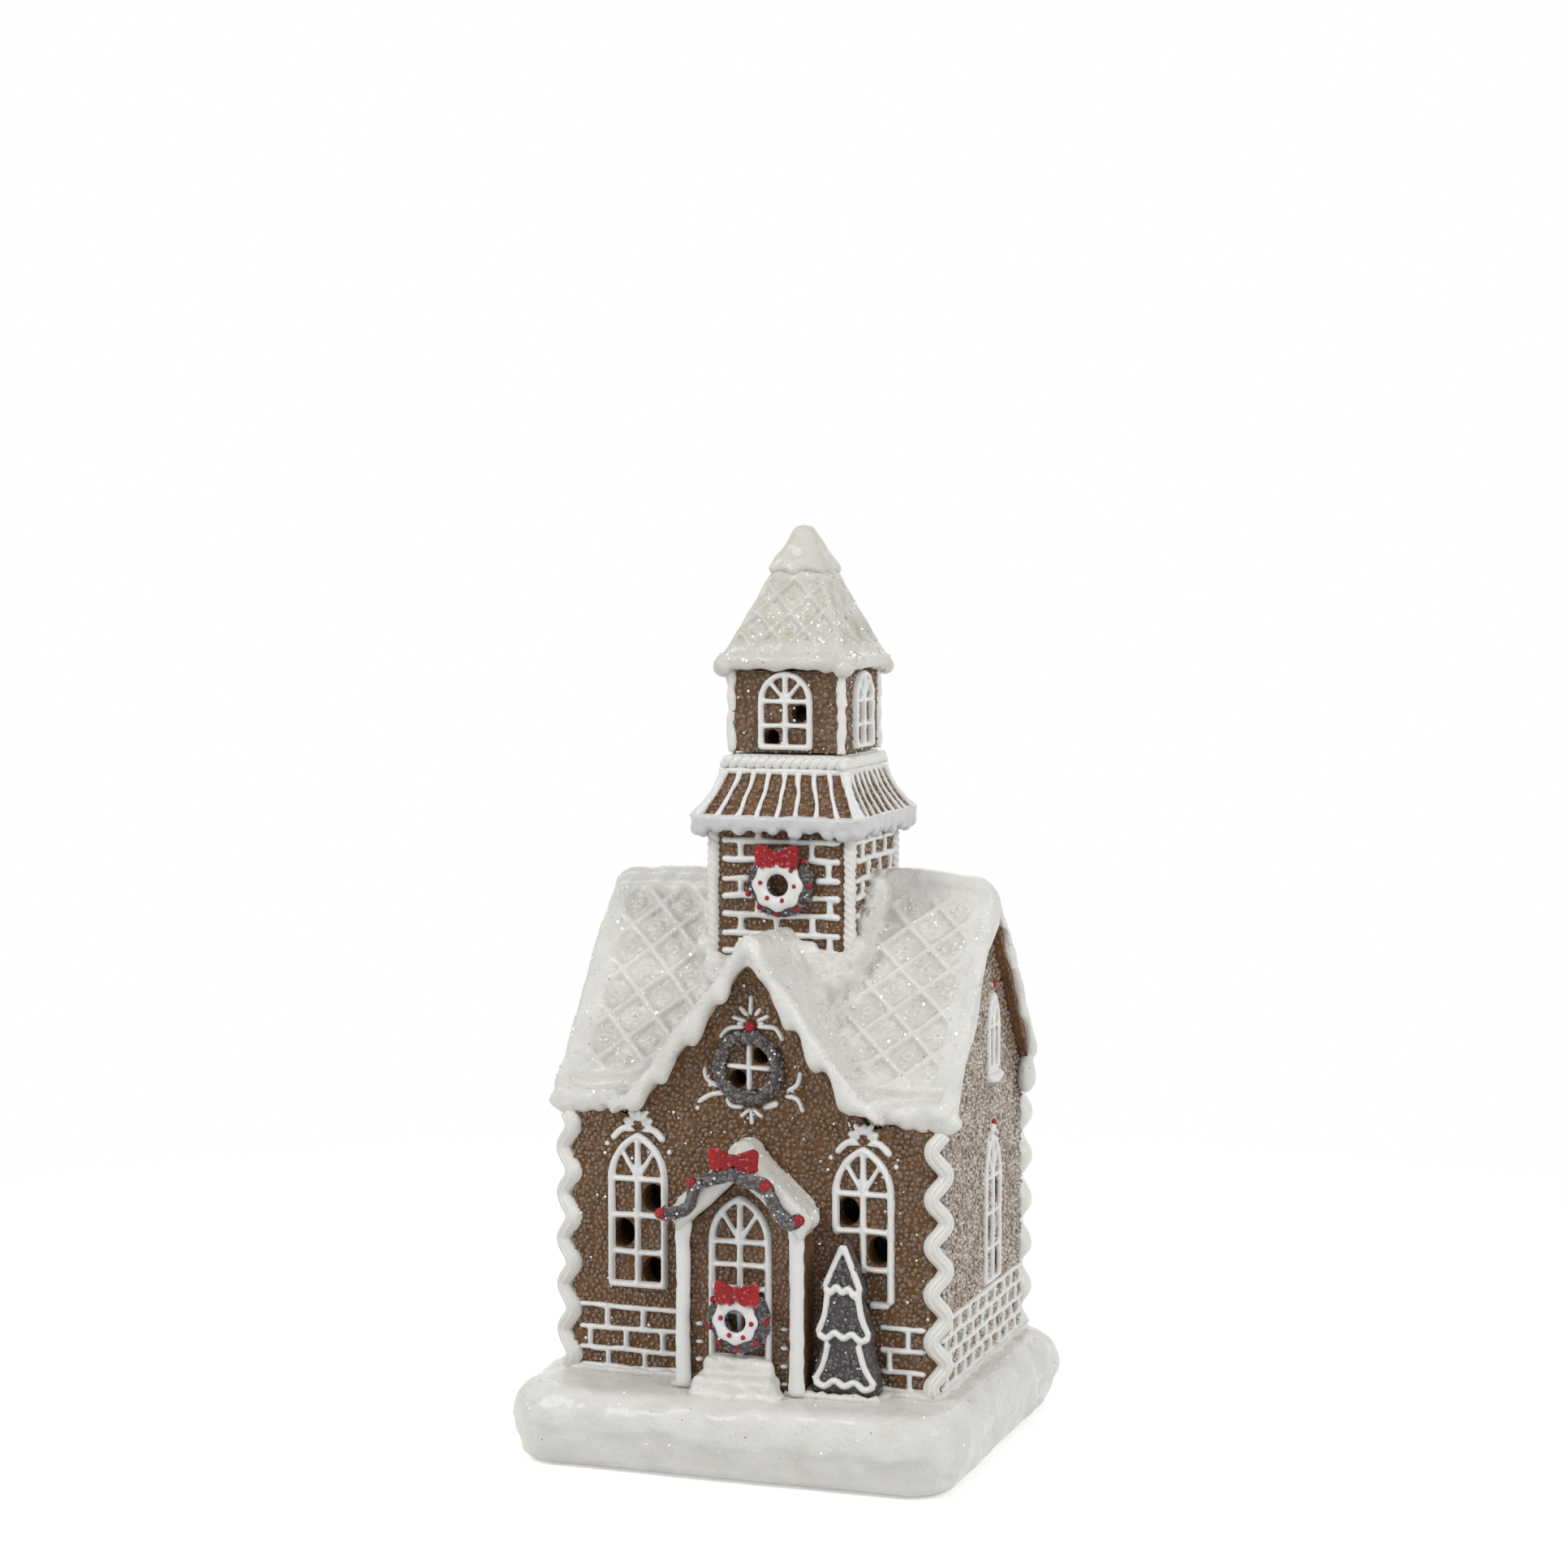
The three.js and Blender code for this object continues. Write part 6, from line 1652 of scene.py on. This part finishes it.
# %% Tree
TREE_BACK, TREE_THICK = 40.9, 4.9
tiers = [
    ((25.2, 54.6), (20.7, 44.4), (29.5, 43.8)),
    ((25.1, 42.6), (19.0, 33.6), (31.7, 33.4)),
    ((25.2, 30.6), (18.2, 22.4), (33.0, 22.1)),
]
outline = [
    (25.2, 55.8), (27.2, 51.2), (30.2, 43.4), (29.2, 42.2), (30.2, 38.6), (32.4, 33.0), (31.2, 31.4),
    (32.6, 27.2),
    (33.8, 21.4), (33.6, 19.2), (17.6, 19.2), (17.4, 22.0), (18.6, 26.8), (20.0, 31.2), (18.3, 33.0),
    (19.8, 38.4),
    (21.6, 42.6), (20.0, 44.1), (23.0, 50.6)
]
bm = bmesh.new()
slab(
    bm, [(x, 0, z) for x, z in outline], Vector((0, -TREE_BACK, 0)),
    Vector((0, -TREE_BACK - TREE_THICK + 0.4, 0))
)
bm = melt(bm, 0.45, 5)
press(bm, lambda co, normal: (0.3 * lumps(co, 2.2), 0.0))
piece("tree_sugar", bm, dark_sugar, ["tree"])
tree_face = wall(TREE_BACK + TREE_THICK - 0.5)
for _ in range(420):
    u, z = chance.uniform(17.5, 33.5), chance.uniform(20, 55.5)
    inside = any(
        f[1] < z < t[1] + 1.0 and abs(u - t[0]) < w * (1.15 - (z - f[1]) / (t[1] - f[1]) * 0.95) for t, f,
        w in ((t, f, abs(r[0] - f[0]) / 2) for t, f, r in tiers)
    )
    if inside:
        grey_sites.append(tree_face(u, z, 0.25))

bm = bmesh.new()
for tip, left, right in tiers:
    closed_top = tip[1] > 50
    shoulder = 0.0 if closed_top else 3.6
    side_lines = []
    for corner, way in ((left, -1), (right, 1)):
        top = (tip[0] + way * shoulder, tip[1] + (0.0 if closed_top else 1.1))
        middle = (Vector(corner) + Vector(top)) / 2 + Vector((way * (0.3 if closed_top else -0.5), -0.6))
        side_lines.append(flow([corner, middle, top], 0.6))
    for line in side_lines:
        pipe(bm, tree_face, line, 1.6, 1.2, taper=(0.3, 0.3))
    span = (right[0] - left[0]) / 3
    scallops = [(left[0] - 0.1, left[1] + 0.3)]
    for k in range(3):
        x = left[0] + span * k
        z = left[1] + (right[1] - left[1]) * (k + 0.5) / 3
        scallops.append((x + span * 0.5, z - 1.0 + (0.4 if k == 1 else 0)))
        scallops.append((x + span, z + 0.5) if k < 2 else (right[0] + 0.1, right[1] + 0.3))
    pipe(bm, tree_face, flow(scallops, 0.5), 1.75, 1.3)
    for k in (1, 2):
        x, z = left[0] + span * k, (left[1] + right[1]) / 2
        pipe(bm, tree_face, flow([(x, z - 0.4), (x + 0.1, z + 1.5)], 0.4), 1.3, 1.1, taper=(0.5, 1.2))
bm = melt(bm, 0.27, 2)
piece("tree_icing", bm, icing)

# %% [markdown]
# ## Sugar beads and glitter
# The dough is pressed into clear sugar beads about 1.1 mm across, so each wall carries thousands. One
# small bead is made once, and a turned and sized copy is joined in at each place. The places come from a
# slightly shaken grid, which keeps them even without rows. Flat six-sided flakes of glitter lie about
# on the snow and the dough.

# %% Scattering
def small_mesh(name, build):
    bm = bmesh.new()
    build(bm)
    mesh = bpy.data.meshes.new(name)
    bm.to_mesh(mesh)
    bm.free()
    return mesh


bead = small_mesh("bead", lambda bm: bmesh.ops.create_icosphere(bm, subdivisions=1, radius=0.5))
flake = small_mesh(
    "flake",
    lambda bm: bmesh.ops.create_cone(
        bm, cap_ends=True, cap_tris=False, segments=6, radius1=0.45, radius2=0.45, depth=0.09
    )
)


def scatter(small, places, tilt_by=0.12):
    """One mesh of copies, each at a place, turned to its normal, tilted and sized."""
    bm = bmesh.new()
    for point, normal, size in places:
        copy = small.copy()
        tilt = Vector((chance.gauss(0, tilt_by), chance.gauss(0, tilt_by), chance.gauss(0, tilt_by)))
        turn = (normal + tilt).to_track_quat("Z", "Y").to_matrix().to_4x4()
        turn = turn @ Matrix.Rotation(chance.uniform(0, 3), 4, "Z")
        copy.transform(Matrix.Translation(point) @ turn @ Matrix.Scale(size, 4))
        bm.from_mesh(copy)
        bpy.data.meshes.remove(copy)
    return bm


def shaken_grid(face, low_u, high_u, low_z, high_z, spacing, inside, shake=0.2):
    """Places on a face, about spacing apart, where inside says yes."""
    normal = (face(0, 0, 1) - face(0, 0, 0)).normalized()
    places = []
    row, z = 0, low_z
    while z < high_z:
        u = low_u + (spacing / 2 if row % 2 else 0)
        while u < high_u:
            a, b = u + chance.gauss(0, spacing * shake), z + chance.gauss(0, spacing * shake)
            if chance.random() < 0.9 and inside(a, b):
                places.append((face(a, b, 0.02), normal, chance.uniform(0.85, 1.3)))
            u += spacing
        row, z = row + 1, z + spacing * 0.87
    return places


def in_hole(u, z, holes, radius=3.3):
    """Whether a place lies in an open pane."""
    return any(math.hypot(u - a, (z - b) / 1.2) < radius for a, b in holes)


# %% Beads on the walls
front_holes = pane_holes(FRONT_WINDOW, -FRONT_ACROSS)
front_holes += pane_holes(FRONT_WINDOW, FRONT_ACROSS, -1)
front_holes += [(2.95, 96.55), (-2.95, 90.65)]


def on_front(u, z):
    """Whether a place is bare dough of the front wall."""
    under = z < max(82.0 if abs(u) > 31 else 0, GABLE_RIDGE - 7.5 - SLOPE * abs(u)) and z < 119
    behind_porch = abs(u - PORCH_X) < 15.4 and z < 68 - 0.9 * abs(u - PORCH_X)
    return abs(u) < 44.6 and under and not behind_porch and not in_hole(u, z, front_holes)


def on_end(u, z, sign):
    """Whether a place is bare dough of an end wall."""
    y = sign * u
    return -37.4 < y < 34.8 and z < min(slope_top(abs(y)) - 7.5, 131)


places = shaken_grid(front_face, -45, 45, 20, 119, 1.36, on_front)
places += shaken_grid(
    wall(PORCH_FACE), -15, 15.6, 20, 68, 1.36,
    lambda u, z: abs(u - PORCH_X) < 15 and z < 67 - 0.9 * abs(u - PORCH_X)
)
piece("beads_front", scatter(bead, places), clear_beads)
for name, face, sign in (("right", right_face, 1), ("left", left_face, -1)):
    holes = end_holes(sign)
    places = shaken_grid(
        face, -40, 40, 20, 131, 1.38, lambda u, z: on_end(u, z, sign) and not in_hole(u, z, holes, 2.6)
    )
    piece(f"beads_{name}", scatter(bead, places), frosty_beads)
holes = pane_holes(FRONT_WINDOW, 0, -1)
places = shaken_grid(
    back_face, -44.6, 44.6, 20, 85, 1.42, lambda u, z: abs(u) < 44.4 and not in_hole(u, z, holes)
)
piece("beads_back", scatter(bead, places), frosty_beads)

# %% Beads on the tower
places = []
belfry_holes = pane_holes(BELFRY_WINDOW, 0)
for turn in range(4):
    places += shaken_grid(wall(TOWER, turn, 0, TOWER_Y), -15.5, 15.5, 105, 148.5, 1.42, lambda u, z: True)
    places += shaken_grid(
        wall(BELFRY, turn, 0, TOWER_Y), -13, 13, 166, 185, 1.75,
        lambda u, z: not in_hole(u, z, belfry_holes, 2.3)
    )
    lean = wall(0, turn, 0, TOWER_Y)

    def skirt_face(u, z, out=0.0, lean=lean):
        return lean(u, z, 21.0 - 5.9 * curl((z - SKIRT_FOOT) / SKIRT_RISE) + out)

    places += shaken_grid(
        skirt_face, -20, 20, 151.0, 160.4, 1.6, lambda u, z: abs(u) < 20.4 - 0.52 * (z - SKIRT_FOOT)
    )
piece("beads_tower", scatter(bead, places), clear_beads)

# %% Beads on the sugar, the bows, and the glitter
out_of_wall = Vector((0, -1, 0))
dark_places = [(p, out_of_wall, chance.uniform(0.7, 1.15)) for p in grey_sites]
piece("beads_dark_sugar", scatter(bead, dark_places), grey_beads)
bow_places = [(p, n, chance.uniform(0.6, 1.0)) for p, n in red_sites]
piece("beads_bows", scatter(bead, bow_places), pink_beads)

flakes = []
for sites, count, small, large in (
    (roof_sites, 2100, 0.6, 1.0), (base_sites, 220, 0.6, 1.0), (lip_sites, 60, 0.5, 0.9)
):
    chosen = chance.sample(sites, min(len(sites), count))
    flakes += [(p + n * 0.04, n, chance.uniform(small, large)) for p, n in chosen]
flakes += [
    (p + out_of_wall * 0.5, out_of_wall, chance.uniform(0.4, 0.8)) for p in chance.sample(grey_sites, 70)
]
wall_flakes = shaken_grid(front_face, -44, 44, 21, 118, 7.0, on_front, 0.6)
for face in (right_face, left_face, back_face):
    wall_flakes += shaken_grid(face, -36, 34, 21, 84, 9.0, lambda u, z: True, 0.4)
for turn in range(4):
    wall_flakes += shaken_grid(wall(BELFRY, turn, 0, TOWER_Y), -12, 12, 167, 184, 5.5, lambda u, z: True)
    wall_flakes += shaken_grid(wall(TOWER, turn, 0, TOWER_Y), -15, 15, 118, 147, 7.5, lambda u, z: True)
flakes += [(p + n * 0.5, n, chance.uniform(0.4, 0.85)) for p, n, _ in wall_flakes]
piece("glitter_flakes", scatter(flake, flakes, 0.3), glitter, smooth=False)
print("flakes", len(flakes))

# %% [markdown]
# ## Floor, light and camera
# The church stands on a plain pale floor in soft light: a wide lamp from the front left, a wide one from
# the right and an even white sky. The sky and floor are made white for the camera and for reflections by
# Light Path, and not by more light on the object, and the floor keeps the church's shadow. It is clear
# from below and open under the flat foot, so the battery unit can be looked at. The camera stands where
# the photograph was taken: 19 degrees round to the right and 4 degrees above.

# %% Floor
def seen_directly(tree):
    """One for rays of the camera, off gloss and through glass, and zero for all others."""
    ray = add(tree, "LightPath").outputs
    return sums(
        tree, "MAXIMUM", ray["Is Camera Ray"],
        sums(tree, "MAXIMUM", ray["Is Glossy Ray"], ray["Is Transmission Ray"])
    )


floor_mesh = bmesh.new()
for vert in bmesh.ops.create_grid(
    floor_mesh, x_segments=3, y_segments=3, size=6.0, matrix=Matrix.Translation((0, 0, -0.0002))
)["verts"]:
    for axis in (0, 1):
        if abs(vert.co[axis]) < 5:
            vert.co[axis] = math.copysign(FOOT_HALF[axis], vert.co[axis])
bmesh.ops.delete(
    floor_mesh, geom=[f for f in floor_mesh.faces if f.calc_center_median().length < 0.01], context="FACES"
)
mesh = bpy.data.meshes.new("floor")
floor_mesh.to_mesh(mesh)
floor_mesh.free()
floor = bpy.data.objects.new("floor", mesh)
bpy.context.scene.collection.objects.link(floor)
white, tree, shader, place = new_material("floor_white", 0.9, Specular_IOR_Level=0.0)
rough = use(tree, grain, Vector=place, Size=30.0)
feed(tree, shader, Base_Color=blend(tree, rough["Patch"], colour("F4F4F4"), colour("F2F2F2")))
seen = seen_directly(tree)
glow = add(tree, "Emission", {"Color": (1, 1, 1, 1), "Strength": 0.42})
none = add(tree, "Emission", {"Color": (0, 0, 0, 1), "Strength": 0.0})
lifted = add(tree, "MixShader", {"Fac": seen})
tree.links.new(none.outputs[0], lifted.inputs[1])
tree.links.new(glow.outputs[0], lifted.inputs[2])
both = add(tree, "AddShader")
tree.links.new(shader.outputs[0], both.inputs[0])
tree.links.new(lifted.outputs[0], both.inputs[1])
distance = add(tree, "VectorMath", {0: place}, operation="LENGTH").outputs["Value"]
far_white = sums(tree, "MULTIPLY", seen, spread(tree, distance, 160.0, 420.0))
backdrop = add(tree, "Emission", {"Color": (1, 1, 1, 1), "Strength": 1.0})
whole = add(tree, "MixShader", {"Fac": far_white})
tree.links.new(both.outputs[0], whole.inputs[1])
tree.links.new(backdrop.outputs[0], whole.inputs[2])
two_sided = add(tree, "MixShader", {"Fac": add(tree, "NewGeometry").outputs["Backfacing"]})
tree.links.new(whole.outputs[0], two_sided.inputs[1])
tree.links.new(add(tree, "BsdfTransparent").outputs[0], two_sided.inputs[2])
tree.links.new(
    two_sided.outputs[0], next(n for n in tree.nodes if n.type == "OUTPUT_MATERIAL").inputs["Surface"]
)
mesh.materials.append(white)
print("floor made")

# %% Sky and lamps
world = bpy.data.worlds.new("sky")
bpy.context.scene.world = world
world.use_nodes = True
tree = world.node_tree
tree.nodes.clear()
seen = seen_directly(tree)
sky = add(tree, "Background", {"Color": (1, 1, 1, 1), "Strength": spread(tree, seen, 0.0, 1.0, 0.42, 1.0)})
add(tree, "OutputWorld", {"Surface": sky.outputs[0]})


def softbox(name, place, aim, size, power):
    """A square lamp that is aimed at a place."""
    lamp = bpy.data.lights.new(name, "AREA")
    lamp.shape = "SQUARE"
    lamp.size = size
    lamp.energy = power
    made = bpy.data.objects.new(name, lamp)
    made.location = place
    made.rotation_euler = (Vector(aim) - Vector(place)).to_track_quat("-Z", "Y").to_euler()
    bpy.context.scene.collection.objects.link(made)


softbox("front_left_light", (-0.8, -0.85, 1.1), (0, 0, 0.1), 0.5, 8.4)
softbox("right_light", (1.15, -0.4, 0.85), (0, 0, 0.1), 0.6, 7.2)
softbox("back_light", (-0.3, 1.2, 1.0), (0, 0, 0.1), 0.8, 5)

# %% Camera
camera_data = bpy.data.cameras.new("camera")
camera_data.lens = 75.42
camera_data.sensor_width = 36.0
camera_data.clip_start = 0.01
camera = bpy.data.objects.new("camera", camera_data)
camera.location = (0.25705, -0.74630, 0.21599)
camera.rotation_euler = (math.radians(90 - 4.23), 0, math.radians(19.17))
bpy.context.scene.collection.objects.link(camera)
bpy.context.scene.camera = camera
bpy.context.scene.view_settings.view_transform = "Standard"
print("camera set")
